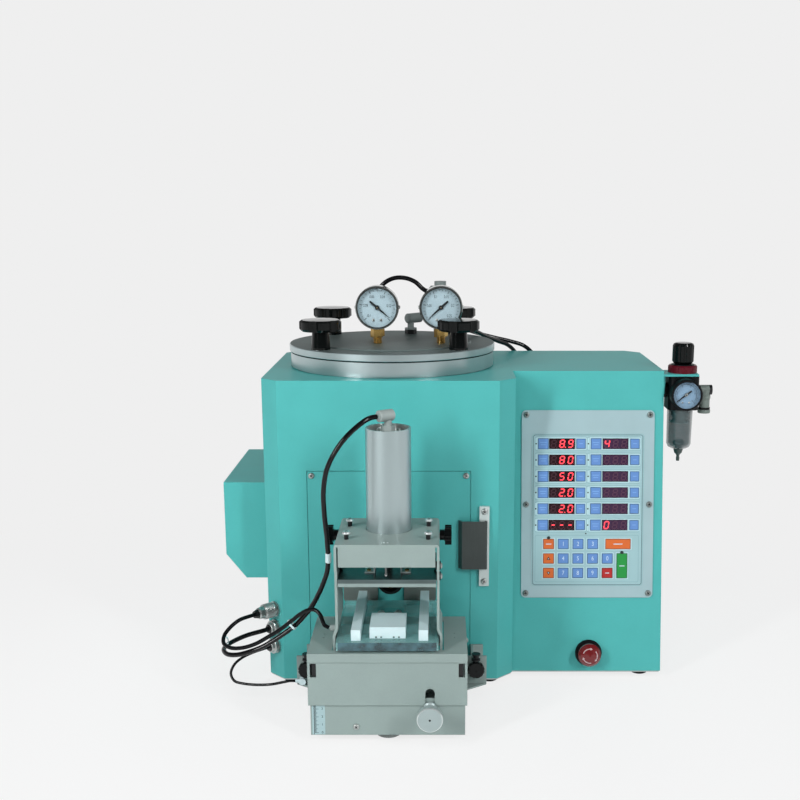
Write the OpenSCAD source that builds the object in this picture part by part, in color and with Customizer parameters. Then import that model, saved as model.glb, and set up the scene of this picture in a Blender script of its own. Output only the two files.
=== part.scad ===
// Bench wax injector with a heated vacuum pot, a slanted control console, a
// filter regulator and a pneumatic mould clamp in front of the nozzle.
// Machine frame: X to the right from the middle of the cabinet, Y to the rear
// from the cabinet's front face, Z up from the surface that it stands on.

/* [Cabinet] */
// Width of the main cabinet
cab_w = 320; // [316:1:330]
// Depth of the housings, front face to rear wall
cab_d = 296; // [294:1:306]
// Height of the cabinet top above the floor
cab_top = 406; // [400:1:412]
// Size of the upright bevels at the front corners
cab_bevel = 21; // [18:1:24]
// Thickness of the painted sheet
sheet = 2; // [1.6:0.1:2.4]
// Height of the rubber feet
foot_h = 10; // [8:1:14]
// Diameter of the rubber feet
foot_d = 25; // [20:1:30]
// Thickness of the base plate
base_t = 2; // [1.5:0.5:3]

/* [Console] */
// Width of the control console
con_w = 198; // [194:1:210]
// Set-back of the console's front at its top edge
con_back_top = 85; // [70:1:90]
// Set-back of the console's front at its bottom edge
con_back_bottom = 26; // [22:1:40]
// Width of the control panel plate
panel_w = 174; // [168:1:180]
// Height of the control panel plate
panel_h = 248; // [240:1:254]
// Thickness of the control panel plate
panel_t = 2; // [1.5:0.5:3]
// Diameter of the stop button's head
estop_d = 30; // [26:1:34]
// Travel of the stop button
estop_travel = 4; // [3:0.5:5]

/* [Side housing] */
// Width of the side housing
side_w = 60; // [50:1:70]
// Height of the side housing
side_h = 131; // [120:1:140]
// Depth of the side housing
side_d = 210; // [190:1:220]
// Height of its lower edge above the floor
side_z = 131; // [125:1:140]

/* [Pot and lid] */
// Distance of the pot's axis behind the front face
pot_y = 152; // [148:1:154]
// Outer radius of the pot's wall
pot_r = 112; // [105:1:114]
// Thickness of the pot's wall
pot_wall = 5; // [4:0.5:6]
// How far the pot's top ring reaches past the pot's wall
ring_reach = 25; // [23:1:27]
// Height of the pot's top ring
ring_h = 19.5; // [18:0.5:22]
// Thickness of the flat gasket
gasket_t = 1.5; // [1:0.5:2.5]
// How far the lid reaches past the top ring
lid_over = 1.5; // [1:0.5:3]
// Thickness of the lid at its rim
lid_t = 9.7; // [9:0.1:12]
// How far the lid knobs' axes stand inside the lid's edge
knob_in = 13.5; // [13:0.5:14.5]
// Diameter over the lobes of a lid knob
lid_knob_d = 54; // [48:1:58]
// Height of a lid knob
lid_knob_h = 39; // [34:1:44]
// Diameter of a lid knob's stud
stud_d = 10; // [8:1:10]

/* [Gauges] */
// Diameter of the gauges on the lid
gauge_d = 57; // [52:1:60]
// Depth of the gauges on the lid
gauge_t = 26; // [24:1:30]
// Diameter of the regulator's gauge
reg_gauge_d = 41; // [38:1:42]

/* [Regulator] */
// Width of the regulator's body
reg_w = 40; // [38:1:42]
// Diameter of the regulator's knob
reg_knob_d = 28; // [24:1:30]
// Diameter of the filter bowl
bowl_d = 34; // [30:1:36]
// Length of the filter bowl
bowl_h = 54; // [46:1:58]

/* [Mould clamp] */
// Middle of the clamp, right of the cabinet's middle
clamp_x = 3.5; // [2:0.5:5]
// Width of the clamp's sliding cover
cover_w = 186; // [180:1:190]
// Front face of the clamp, ahead of the cabinet's front
clamp_front = 165; // [165:1:169]
// Height of the sliding cover's top
cover_top = 112.5; // [112:0.5:114]
// Width of the clamp frame
frame_w = 121; // [119:1:124]
// Height of the clamp frame's top
frame_top = 240.6; // [236:0.2:246]
// Width of the clear platform
platform_w = 119; // [116:1:120]
// Thickness of the clear platform
platform_t = 10; // [8:1:10]
// Diameter of the air cylinder
cyl_d = 54; // [50:1:56]
// Length of the air cylinder above the frame
cyl_h = 123; // [115:1:135]
// Height of the nozzle's axis
nozzle_z = 151.5; // [150:0.5:156]
// Diameter of the black nozzle guard
guard_d = 33; // [30:1:33]

/* [Hoses] */
// Diameter of the air hoses
hose_d = 6; // [5:0.5:6]
// Diameter of the sensor cable
cable_d = 5; // [4:0.5:5]
// Diameter of the thin cable
thin_d = 3.5; // [3:0.5:4]

/* [Hidden] */

$fn = 64;
// Small gap that keeps a cut clear of the face it starts from
cut = 1;
// Clearance of a screw in its hole, and of a running shaft in its bore
fit = 0.05;
// Clearance between flat pieces that slide past each other
slide_gap = 0.3;

// Where the machine frame lies in the part's own frame
frame_x = -103;
frame_y = -59;

// Cabinet
base_z = foot_h + base_t;
left_x = -cab_w / 2;
right_x = cab_w / 2;
wall_h = cab_top - base_z;
con_right = right_x + con_w;
rear_bevel = 20;
slant = atan((con_back_top - con_back_bottom) / wall_h);
base_inset = 1.5;
foot_inset = 28;
foot_bolt_r = 3;

// Front cover plate, flush in the cabinet's front
fc_w = 206;
fc_bottom = 58;
fc_top = 290.6;
fc_gap = 0.6;
fc_lip = 12;
fc_screw_in = 5.4;

// Rear cover
rc_margin = 24;
rc_bottom = 28;
rc_top = cab_top - 18;
rc_screw_in = 6;
rear_open_in = 18;
wall_strip = 12;
way_w = 100;
way_z = 200;
side_way_w = 60;
side_way_h = 50;
rc_xs = [left_x + rc_margin + rc_screw_in, left_x + 172, right_x - 7,
         con_right - rc_margin - rc_screw_in];
rc_zs = [rc_bottom + rc_screw_in, rc_top - rc_screw_in];
vent_w = 60;
vent_h = 4;
vent_n = 8;
vent_pitch = 12;

// Screws of one size hold the covers
screw_r = 2;
screw_head_r = 3.8;
screw_head_h = 2.4;
screw_len = 6;

// Pot, ring, gasket and lid, from the bottom up
pot_floor = nozzle_z - 4.5;
pot_base = pot_floor - 8;
ring_r = pot_r + ring_reach;
lid_r = ring_r + lid_over;
knob_circle_r = lid_r - knob_in;
ring_bottom = cab_top;
ring_top = ring_bottom + ring_h;
lid_bottom = ring_top + gasket_t;
rim_top = lid_bottom + lid_t;
step_r = lid_r - 32.5;
step_h = 1.5;
lid_top = rim_top + step_h;
outlet_r = 13;
outlet_front = 6;
nozzle_r = 6;
nozzle_tip = -36;
nozzle_travel = 3;
guard_front = -25;
nozzle_x = 1.5;

// Lid knobs
stem_r = 12.3;
lobe_h = 15;
stud_r = stud_d / 2;
stud_l = 26;

// Lid gauges: [x, y of the glass] and height of the dials' centres
gauge_r = gauge_d / 2;
vac_x = -18;
prs_x = 66;
gauge_y = 104;
gauge_z = lid_top + 48;
bezel_in = 3;
dial_t = 1;
glass_t = 1.8;
pointer_t = 0.8;
stem_y = gauge_y + gauge_t / 2 + 1;
hex_r = 9.2;
nipple_r = 5;
nipple_h = 10;
hex_top = 19.5;

// Fittings on the lid: [x, y], height of the outlet above the lid
elbow_x = 23;
elbow_y = 236;
elbow_h = 21.8;
riser_x = 65;
riser_y = 165;
link_h = 65.8;
link_z = lid_top + link_h;
tee_x = -22;
tee_y = 165;
tee_h = 44;
push_r = 7;
collar_r = hose_d / 2 + 1.8;

// Control panel on the slanted front
panel_x = right_x + 12 + panel_w / 2;
panel_s = 223;
panel_corner = 6;
panel_screw_in = 6;
keypad_w = 147.5;
keypad_h = 202;
keypad_t = 0.8;
keypad_s = panel_s - 7.5;
key_rise = 0.5;
estop_x = right_x + 102;
estop_s = 24.5;
estop_r = estop_d / 2;
estop_bore = 11;
estop_ring = 3.5;

// Shield beside the front cover
bar_x = right_x - 39;
bar_w = 12.5;
bar_bottom = 140.6;
bar_top = 246;
bar_t = 4;
bar_screw_in = 6.5;
bar_screw_zs = [bar_bottom + bar_screw_in, bar_top - bar_screw_in];
shield_bottom = 164.4;
shield_top = 227.4;
shield_off = 5;
shield_left = bar_x - 33;
stop_half = 59.3;
stop_low = 120;
stop_high = 178;
stop_t = 2;
shield_right = bar_x + 3.5;

// Regulator
reg_x = con_right + 28;
reg_y = con_back_top + 20;
reg_bracket_z = cab_top - 7.5;
reg_plate_t = 3;
reg_body_h = 45;
reg_top = reg_bracket_z;
neck_r = 15;
reg_gauge_r = reg_gauge_d / 2;
reg_gauge_t = 17;
reg_gauge_z = reg_top - 22;
reg_port_z = reg_top - 20.5;
reg_elbow_x = reg_x + reg_w / 2 + 11;
bowl_top = reg_top - reg_body_h;

// Aviation sockets on the left bevel
bevel_x = left_x + cab_bevel / 2;
bevel_y = cab_bevel / 2;
socket_zs = [105, 80, 55];
plug_l = 34;
short_plug_l = 14;

// Clamp box, fixed to the cabinet by brackets and knobs
cover_gap = slide_gap;
box_w = cover_w - 2 * sheet - 2 * cover_gap;
box_bottom = 10;
box_wall_top = 42;
box_front_top = 56;
ear_y = -44;
ear_t = 3;
ear_w = 240;
ear_low = 24;
ear_top = 62;
bracket_dx = 106.5;
bracket_z = 26;
bracket_h = 34;
bracket_w = 16;
bracket_out = 5.5;
bobbin_r = 5.5;
knob_z = 47;
knob_stud_r = 3;
lock_x = clamp_x + 49.5;
lock_z = 46;
lock_stud_r = 4;
screw_y = -140;
lead_r = 4;
lead_top = 75;
wheel_r = 15;
wheel_bottom = 2;
wheel_top = 9.5;
wheel_hub_r = 8;
flute_r = 1.2;

// Sliding cover
cover_back = -40;
cover_bottom = 48;
lip_h = 11;
slot_r = 5.5;
slot_top = 68.8;
notch_w = 7.2;
notch_low = 83;
notch_top = 100;
notch_in = 3;
slot_y0 = -153;
slot_y1 = -54;

// Guide rods and carriage
rod_dx = 82;
rod_r = 4;
rod_z = 90;
rod_y0 = -162;
rod_y1 = -46;
bearing_y0 = -130;
bearing_y1 = -90;
cross_t = 4;
bearing_w = 12;
bearing_h = 20;
cross_z = 80;

// Clamp frame: one bent sheet, inverted U with a front flange
frame_t = 3;
frame_y0 = -155;
frame_y1 = -39;
flange_h = 26.8;
flange_gap = 1.8;
leg_y0 = -150;
leg_y1 = -75;
joggle_z = 137;
joggle = 3.5;
joggle_h = 8;
frame_step = 32;
cyl_x = clamp_x;
cyl_y = -84.5;
cyl_r = cyl_d / 2;
cyl_wall = 2.5;
cyl_low = frame_top - 16;
cyl_top = frame_top + cyl_h;
cap_in = 6;
cyl_elbow_h = 20.4;
post_dx = 47.5;
post_ys = [-131, -75];
star_y = -80;
star_z = 231;
side_screw_zs = [202, 189];
side_screw_y = -110;
star_stud_r = 3;

// Platform and mould guides
platform_gap = 3.7;
platform_z = cover_top + platform_gap;
platform_y0 = -165;
platform_y1 = -18;
plat_top = platform_z + platform_t;
guide_dx = 39.2;
guide_w = 11;
guide_h = 13;
guide_y0 = -158.5;
guide_y1 = -18;
peg_r = 2;
peg_ys = [-105, -34];
peg_slot_x = 0.2;
peg_slot_dx = 37.3;
peg_slot_l = 35;
stop_w = 42;
stop_y0 = -151;
stop_y1 = -100;

// Press plate, pad and rod
pad_t = 4.2;
press_t = 4.8;
press_z = 189.2;
press_w = 113.5;
press_y0 = -152;
press_y1 = -45;
notch_d = 14;
notch_half = 11;
rod_top_r = 4;
piston_h = 12;
piston_z = cyl_top - 36;

// Free hoses and cables
AIR_HOSE = [[-159.4, 0.6, 80], [-165, -5, 80], [-184, -16, 78], [-199, -29, 75], [-206, -43, 74],
    [-206, -57, 74], [-199, -70, 74], [-185, -79, 77], [-169, -84, 83], [-153, -86, 90], [-138, -86, 99],
    [-125, -86, 108], [-112, -86, 118], [-101, -87, 130], [-91, -89, 143], [-83, -92, 158],
    [-76, -96, 174], [-70, -100, 192], [-68, -104, 210], [-69, -108, 238], [-71, -111, 266],
    [-71, -114, 294], [-67, -115, 318], [-58, -116, 338], [-46, -114, 355], [-31, -108, 369],
    [-18, -100.6, 377], [-9.6, -94.3, 378]];
SENSOR_CABLE = [[-173.6, -13.6, 105], [-180, -20, 105], [-190, -30, 104], [-200, -40, 98],
    [-206, -50, 91], [-205, -61, 85], [-195, -71, 83], [-179, -79, 86], [-162, -84, 93],
    [-146, -87, 103], [-130, -90, 114], [-116, -94, 126], [-104, -99, 137], [-94, -104, 144],
    [-86, -108, 146], [-79, -112, 142], [-75.8, -114.5, 135], [-72.6, -115, 128.4], [-67.8, -115, 126]];
THIN_CABLE = [[-159.4, 0.6, 55], [-165, -5, 55], [-178, -16, 54], [-190, -23, 50], [-199, -28, 43],
    [-203, -33, 33], [-198, -38, 25], [-186, -42, 23], [-168, -46, 23], [-149, -49, 25], [-132, -52, 29.6],
    [-125, -52, 31], [-118.2, -52, 31]];
LID_HOSE_HIGH = [[37, 250, 460], [42, 255, 460], [57, 268, 456], [76, 280, 448], [98, 289, 440],
    [121, 295, 432], [146, 300, 425], [170, 304, 419], [190, 307, 412], [204, 311, 399],
    [211, 312, 381], [211, 312, 365]];
LID_HOSE_LOW = [[77, 177, 458], [81, 181, 458], [92, 198, 455], [105, 219, 447], [118, 239, 440],
    [134, 262, 430], [150, 281, 422], [166, 297, 414], [178, 308, 401], [185, 312, 383],
    [185, 312, 365]];
LINK_HOSE = [[-22, 165, 482.2], [-22, 165, 491], [-19, 165, 504], [-10, 165, 515], [3, 165, 522],
    [18, 165, 522], [31, 165, 516], [41, 165, 507], [46, 165, 504], [50, 165, 504]];

// Plain helpers

module in_machine() translate([frame_x, frame_y, 0]) children();

// Rounded rectangle in the plane, centred
module round_rect(w, h, r) {
    square([w - 2 * r, h], center = true);
    square([w, h - 2 * r], center = true);
    for (x = [-1, 1], y = [-1, 1])
        translate([x * (w / 2 - r), y * (h / 2 - r)]) circle(r);
}

// Children drawn in XY with +Z outwards are turned to face the front
module facing_front() rotate([90, 0, 0]) children();

// Frame on the console's slanted front: x, distance up the slope
module on_console(x, s) {
    translate([x, con_back_bottom + s * sin(slant), base_z + s * cos(slant)])
        rotate([90 - slant, 0, 0]) children();
}

// Frame on the left bevel at height z, +Z outwards
module on_bevel(z) translate([bevel_x, bevel_y, z]) rotate([90, 0, -45]) children();

// Pan head screw along Z, seat at 0, shank below
module pan_screw(r, head_r, head_h, len) {
    rotate_extrude() polygon([[0, -len], [r - fit, -len], [r - fit, 0], [head_r, 0],
        [head_r, head_h * 0.45], [head_r * 0.62, head_h], [0, head_h]]);
}

module cover_screw() pan_screw(screw_r, screw_head_r, screw_head_h, screw_len);

// Cabinet outline, t is how far it lies inside the outer face
module cabinet_outline(t) {
    k = cab_bevel + t * (sqrt(2) - 1);
    kr = rear_bevel + t * (sqrt(2) - 1);
    polygon([[left_x + t, k], [left_x + k, t], [right_x - k, t], [right_x - t, k],
        [right_x - t, cab_d - t], [left_x + kr, cab_d - t], [left_x + t, cab_d - kr]]);
}

// Side view of the console in Y and Z, t inside the outer face
module console_side(t) {
    d = t / cos(slant) - t * tan(slant);
    polygon([[con_back_bottom + t / cos(slant), base_z - (t > 0 ? cut : 0)],
        [con_back_top + d, cab_top - t], [cab_d - t, cab_top - t],
        [cab_d - t, base_z - (t > 0 ? cut : 0)]]);
}

// Plan of the console with its rear bevel
module console_plan(t) {
    kr = rear_bevel + t * (sqrt(2) - 1);
    polygon([[right_x, -cut], [con_right - t, -cut], [con_right - t, cab_d - kr],
        [con_right - kr, cab_d - t], [right_x, cab_d - t]]);
}

module console_solid(t) {
    intersection() {
        translate([right_x - (t > 0 ? cut : 0), 0, 0]) rotate([90, 0, 90])
            linear_extrude(con_w - t + (t > 0 ? cut : 0)) console_side(t);
        translate([t > 0 ? -2 * cut : 0, 0, 0]) linear_extrude(cab_top + cut)
            offset_free_plan(t);
    }
}

// The plan reaches past the open left side of the inner space
module offset_free_plan(t) {
    console_plan(t);
    if (t > 0) translate([right_x - 4 * cut, cut]) square([8 * cut, cab_d - t - cut]);
}

// Through holes for the rear cover's screws
module rear_screw_holes() {
    for (x = rc_xs, z = rc_zs)
        translate([x, cab_d + sheet + cut, z]) facing_front()
            cylinder(r = screw_r, h = 2 * sheet + 2 * cut + cut);
}

module front_screw_spots() {
    for (x = [-1, 1], z = [fc_bottom + fc_screw_in + 2, fc_top - fc_screw_in])
        translate([x * (fc_w / 2 - fc_screw_in), 0, z]) children();
}

// Housings

module main_housing() {
    color("mediumturquoise") difference() {
        union() {
            difference() {
                translate([0, 0, base_z]) linear_extrude(wall_h) cabinet_outline(0);
                translate([0, 0, base_z - cut]) linear_extrude(wall_h - sheet + cut)
                    cabinet_outline(sheet);
                // Window in the front wall for the cover plate
                translate([-fc_w / 2 - fc_gap, -cut, fc_bottom - fc_gap])
                    cube([fc_w + 2 * fc_gap, sheet + 2 * cut, fc_top - fc_bottom + 2 * fc_gap]);
            }
            // Frame behind the window that the cover plate is screwed to
            difference() {
                translate([-fc_w / 2 - fc_lip / 2, sheet, fc_bottom - fc_lip / 2])
                    cube([fc_w + fc_lip, sheet, fc_top - fc_bottom + fc_lip]);
                translate([-fc_w / 2 + fc_lip, 0, fc_bottom + fc_lip])
                    cube([fc_w - 2 * fc_lip, 3 * sheet, fc_top - fc_bottom - 2 * fc_lip]);
            }
        }
        // Hole for the pot
        translate([0, pot_y, cab_top - sheet - cut]) cylinder(r = pot_r + cut, h = sheet + 2 * cut);
        // Rear opening behind the rear cover
        translate([left_x + rc_margin + rear_open_in, cab_d - sheet - cut, rc_bottom + rear_open_in])
            cube([cab_w - rc_margin - rear_open_in - wall_strip, sheet + 2 * cut,
                rc_top - rc_bottom - 2 * rear_open_in]);
        // Cable way into the console and into the side housing
        translate([right_x - sheet - cut, pot_y - sheet, way_z]) cube([sheet + 2 * cut, way_w, way_w]);
        translate([left_x - cut, pot_y - 10 * sheet, side_z + (side_h - side_way_h) / 2])
            cube([sheet + 2 * cut, side_way_w, side_way_h]);
        rear_screw_holes();
        front_screw_spots() translate([0, -cut, 0]) rotate([-90, 0, 0])
            cylinder(r = screw_r, h = 3 * sheet);
        for (z = socket_zs) on_bevel(z) translate([0, 0, -2 * sheet])
            cylinder(r = 8 + fit, h = 4 * sheet);
        // Holes for the shield bar's screws
        for (z = bar_screw_zs) translate([bar_x, -cut, z]) rotate([-90, 0, 0])
            cylinder(r = screw_r, h = sheet + 2 * cut);
    }
}

module console_housing() {
    color("mediumturquoise") difference() {
        console_solid(0);
        console_solid(sheet);
        // Window behind the control panel
        on_console(panel_x, panel_s) translate([0, 0, -3 * sheet])
            linear_extrude(6 * sheet) square([panel_w - 30, panel_h - 30], center = true);
        panel_screw_spots() translate([0, 0, -3 * sheet]) cylinder(r = screw_r, h = 6 * sheet);
        on_console(estop_x, estop_s) translate([0, 0, -3 * sheet])
            cylinder(r = estop_bore + fit, h = 6 * sheet);
        translate([right_x + wall_strip, cab_d - sheet - cut, rc_bottom + rear_open_in])
            cube([con_w - rc_margin - rear_open_in - wall_strip, sheet + 2 * cut,
                rc_top - rc_bottom - 2 * rear_open_in]);
        rear_screw_holes();
    }
}

module side_housing() {
    side_y = 60;
    cut_w = 26;
    cut_h = 33;
    color("mediumturquoise") difference() {
        translate([left_x, side_y + side_d, 0]) rotate([90, 0, 0]) linear_extrude(side_d)
            polygon([[0, side_z], [-side_w + cut_w, side_z], [-side_w, side_z + cut_h],
                [-side_w, side_z + side_h], [0, side_z + side_h]]);
        k = sheet * (sqrt(cut_w * cut_w + cut_h * cut_h) - cut_w) / cut_h;
        kz = sheet * (sqrt(cut_w * cut_w + cut_h * cut_h) - cut_h) / cut_w;
        translate([left_x, side_y + side_d - sheet, 0]) rotate([90, 0, 0])
            linear_extrude(side_d - 2 * sheet)
            polygon([[cut, side_z + sheet], [-side_w + cut_w + kz, side_z + sheet],
                [-side_w + sheet, side_z + cut_h + k], [-side_w + sheet, side_z + side_h - sheet],
                [cut, side_z + side_h - sheet]]);
    }
}

function foot_spots() = [[left_x + foot_inset, foot_inset], [right_x - foot_inset - 2, foot_inset],
    [con_right - foot_inset + 4, con_back_bottom + foot_inset], [left_x + foot_inset, cab_d - 30],
    [right_x - foot_inset - 2, cab_d - 30], [con_right - foot_inset + 4, cab_d - 34]];

module base_plate() {
    color("gray") difference() {
        translate([0, 0, foot_h]) linear_extrude(base_t) {
            cabinet_outline(base_inset);
            polygon([[right_x - 10, con_back_bottom + base_inset],
                [con_right - base_inset, con_back_bottom + base_inset],
                [con_right - base_inset, cab_d - rear_bevel], [con_right - rear_bevel, cab_d - base_inset],
                [right_x - 10, cab_d - base_inset]]);
        }
        for (p = foot_spots()) translate([p[0], p[1], 0]) cylinder(r = foot_bolt_r, h = 3 * foot_h);
    }
}

module feet() {
    color("black") for (p = foot_spots()) translate([p[0], p[1], 0]) rotate_extrude()
        polygon([[0, 0], [foot_d / 2 - 2.5, 0], [foot_d / 2 - 1.5, 0.6], [foot_d / 2, foot_h],
            [foot_bolt_r - fit, foot_h], [foot_bolt_r - fit, foot_h + base_t], [0, foot_h + base_t]]);
}

module rear_cover() {
    rc_w = con_right - left_x - 2 * rc_margin;
    color("mediumturquoise") difference() {
        translate([left_x + rc_margin, cab_d, rc_bottom]) cube([rc_w, sheet, rc_top - rc_bottom]);
        rear_screw_holes();
        // Two fields of cooling slots
        for (x = [left_x + 100, con_right - 110], i = [0:vent_n - 1])
            translate([x - vent_w / 2, cab_d - cut, 90 + i * vent_pitch])
                cube([vent_w, sheet + 2 * cut, vent_h]);
        for (x = rear_elbow_xs) translate([x, cab_d - cut, rear_elbow_z]) rotate([-90, 0, 0])
            cylinder(r = 5 + fit, h = sheet + 2 * cut);
        translate([inlet_x - 14, cab_d - cut, inlet_z - 10]) cube([28, sheet + 2 * cut, 20]);
    }
}

// Where the lid hoses and the mains lead come in at the rear
rear_elbow_xs = [185, 211];
rear_elbow_y = 312;
rear_elbow_z = 352;
inlet_x = con_right - 60;
inlet_z = 60;

module front_cover() {
    color("mediumturquoise") difference() {
        translate([0, sheet, (fc_bottom + fc_top) / 2]) facing_front() linear_extrude(sheet)
            round_rect(fc_w, fc_top - fc_bottom, 3);
        front_screw_spots() translate([0, -cut, 0]) rotate([-90, 0, 0])
            cylinder(r = screw_r, h = 3 * sheet);
        translate([nozzle_x, -cut, nozzle_z]) rotate([-90, 0, 0])
            cylinder(r = guard_d / 2 + 0.4, h = 3 * sheet);
    }
}

module cover_screws() {
    color("silver") {
        front_screw_spots() facing_front() cover_screw();
        for (x = rc_xs, z = rc_zs) translate([x, cab_d + sheet, z]) rotate([-90, 0, 0])
            pan_screw(screw_r, screw_head_r, screw_head_h, 2 * sheet);
        for (z = bar_screw_zs) translate([bar_x, -bar_t, z]) facing_front()
            pan_screw(screw_r, screw_head_r, screw_head_h, bar_t + sheet);
        panel_screw_spots() translate([0, 0, panel_t])
            pan_screw(screw_r, screw_head_r, screw_head_h, panel_t + sheet);
    }
}

// Pot, gasket and lid

module wax_pot() {
    color("silver") translate([0, pot_y, 0]) difference() {
        union() {
            rotate_extrude() polygon([[0, pot_base], [pot_r, pot_base], [pot_r, ring_bottom],
                [ring_r - 3, ring_bottom], [ring_r - 3, ring_bottom + 1.5],
                [ring_r, ring_bottom + 1.5], [ring_r, ring_top], [0, ring_top]]);
            // Boss that carries the nozzle
            translate([nozzle_x, 10 - pot_r, nozzle_z]) facing_front()
                cylinder(r = outlet_r, h = pot_y - outlet_front - pot_r + 10);
        }
        translate([0, 0, pot_floor]) cylinder(r = pot_r - pot_wall, h = ring_top - pot_floor + cut);
        translate([nozzle_x, 20 - pot_r, nozzle_z]) facing_front() cylinder(r = 4, h = pot_y);
        translate([nozzle_x, outlet_front - pot_y + 10, nozzle_z]) facing_front()
            cylinder(r = nozzle_r + 0.2, h = 20);
        knob_spots() translate([0, 0, ring_top - 16]) cylinder(r = stud_r + fit, h = 20);
    }
}

// The four knob places, about the pot's axis
module knob_spots() {
    for (a = [45:90:315]) rotate(a) translate([knob_circle_r, 0, 0]) children();
}

module pot_gasket() {
    color("black") translate([0, pot_y, ring_top]) difference() {
        cylinder(r = ring_r - 1, h = gasket_t);
        translate([0, 0, -cut]) cylinder(r = pot_r - pot_wall + 0.5, h = gasket_t + 2 * cut);
        knob_spots() translate([0, 0, -cut]) cylinder(r = stud_r + 0.4, h = gasket_t + 2 * cut);
    }
}

module lid() {
    color("lightgray") difference() {
        translate([0, pot_y, 0]) difference() {
            rotate_extrude() polygon([[0, lid_bottom], [lid_r - 0.8, lid_bottom],
                [lid_r, lid_bottom + 0.8], [lid_r, rim_top - 1], [lid_r - 1, rim_top],
                [step_r + 1, rim_top], [step_r, lid_top], [0, lid_top]]);
            knob_spots() translate([0, 0, lid_bottom - cut])
                cylinder(r = stud_r + 0.4, h = lid_t + 2 * cut);
        }
        for (p = [[vac_x, stem_y], [prs_x, stem_y], [elbow_x, elbow_y], [riser_x, riser_y],
                  [tee_x, tee_y]])
            translate([p[0], p[1], lid_bottom - cut])
                cylinder(r = nipple_r + fit, h = lid_t + step_h + 2 * cut);
    }
}

// Gauge parts are drawn about their axis, +Z towards the reader
module gauge_case(r, t) {
    rotate_extrude() polygon([[0, 0], [r - 1, 0], [r, 1.5], [r, t - 1], [r - 0.8, t],
        [r - bezel_in, t], [r - bezel_in, t - 1.2], [r - 1.2, t - 1.2], [r - 1.2, 2], [0, 2]]);
}

// Dial with the spindle that the pointer turns on
module gauge_dial(r, t) {
    z = t - 8;
    translate([0, 0, z]) cylinder(r = r - 1.25, h = dial_t);
    translate([0, 0, 2]) cylinder(r = 3, h = z - 2);
    translate([0, 0, z]) cylinder(r = 1, h = dial_t + 3);
}

module gauge_glass(r, t) {
    translate([0, 0, t - 1.2 - glass_t]) cylinder(r = r - 1.25, h = glass_t);
}

// Pointer that turns on the dial's spindle, its tip at the given angle
module gauge_pointer(r, t, angle) {
    translate([0, 0, t - 8 + dial_t + 0.8]) rotate(angle) linear_extrude(pointer_t) difference() {
        union() {
            circle(r * 0.11);
            polygon([[-r * 0.42, -r * 0.045], [-r * 0.42, r * 0.045], [0, r * 0.06], [r * 0.74, 0.2],
                [r * 0.74, -0.2], [0, -r * 0.06]]);
        }
        circle(1 + fit);
    }
}

module lid_gauge_frames() {
    for (x = [vac_x, prs_x]) translate([x, gauge_y + gauge_t, gauge_z]) facing_front() children();
}

module gauge_cases() {
    color("silver") lid_gauge_frames() gauge_case(gauge_r, gauge_t);
    color("lightsteelblue") lid_gauge_frames() gauge_dial(gauge_r, gauge_t);
}

module gauge_glasses() {
    color("azure", 0.4) lid_gauge_frames() gauge_glass(gauge_r, gauge_t);
}

module vacuum_pointer() {
    color("black") translate([vac_x, gauge_y + gauge_t, gauge_z]) facing_front()
        gauge_pointer(gauge_r, gauge_t, -40);
}

module pressure_pointer() {
    color("black") translate([prs_x, gauge_y + gauge_t, gauge_z]) facing_front()
        gauge_pointer(gauge_r, gauge_t, 222);
}

// Brass nipples and hexagons under the gauges, and the two brass risers
module gauge_fittings() {
    color("goldenrod") {
        for (x = [vac_x, prs_x]) difference() {
            translate([x, stem_y, 0]) {
                translate([0, 0, lid_bottom + 1]) cylinder(r = nipple_r, h = nipple_h + lid_top - lid_bottom);
                translate([0, 0, lid_top + nipple_h]) cylinder(r = hex_r, h = hex_top - nipple_h, $fn = 6);
                translate([0, 0, lid_top + hex_top]) cylinder(r = 5.5, h = gauge_z - lid_top - hex_top);
            }
            translate([x, gauge_y + gauge_t + cut, gauge_z]) facing_front()
                cylinder(r = gauge_r, h = gauge_t + 2 * cut);
        }
        brass_riser(riser_x, riser_y, link_z - 12 - lid_top);
        brass_riser(tee_x, tee_y, tee_h - 14);
        translate([elbow_x, elbow_y, lid_bottom + 1]) cylinder(r = nipple_r, h = lid_top - lid_bottom - 1);
    }
}

module brass_riser(x, y, h) {
    translate([x, y, lid_bottom + 1]) cylinder(r = nipple_r, h = lid_top - lid_bottom - 1 + h);
    translate([x, y, lid_top + 3]) difference() {
        cylinder(r = 8.5, h = 8, $fn = 6);
        translate([0, 0, -cut]) cylinder(r = nipple_r, h = 10);
    }
}

// Barrel of a push-in fitting along +Z from its stem's axis, collar at its mouth
module barrel(l, back = push_r) {
    rotate_extrude() polygon([[0, -back], [push_r - 1.5, -back], [push_r, 1.5 - back],
        [push_r, l - 2.2], [push_r - 0.7, l - 1.5], [collar_r, l - 1.5], [collar_r, l], [0, l]]);
}

// Push-in elbow: hexagon, swivel stem and a barrel that the hose meets
module push_elbow(stem_h, l, turn) {
    cylinder(r = 8.5, h = 8.5, $fn = 6);
    translate([0, 0, 8.5]) cylinder(r = 4.6, h = stem_h - 8.5);
    rotate(turn) translate([0, 0, stem_h]) rotate([0, 90, 0]) barrel(l);
}

// Elbow whose swivel head stands above its barrel
module capped_elbow(l, turn) {
    cylinder(r = 9, h = 4, $fn = 6);
    translate([0, 0, 4]) cylinder(r = 8, h = 21);
    rotate(turn) translate([0, 0, 12]) rotate([0, 90, 0]) barrel(l, 0);
}

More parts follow.
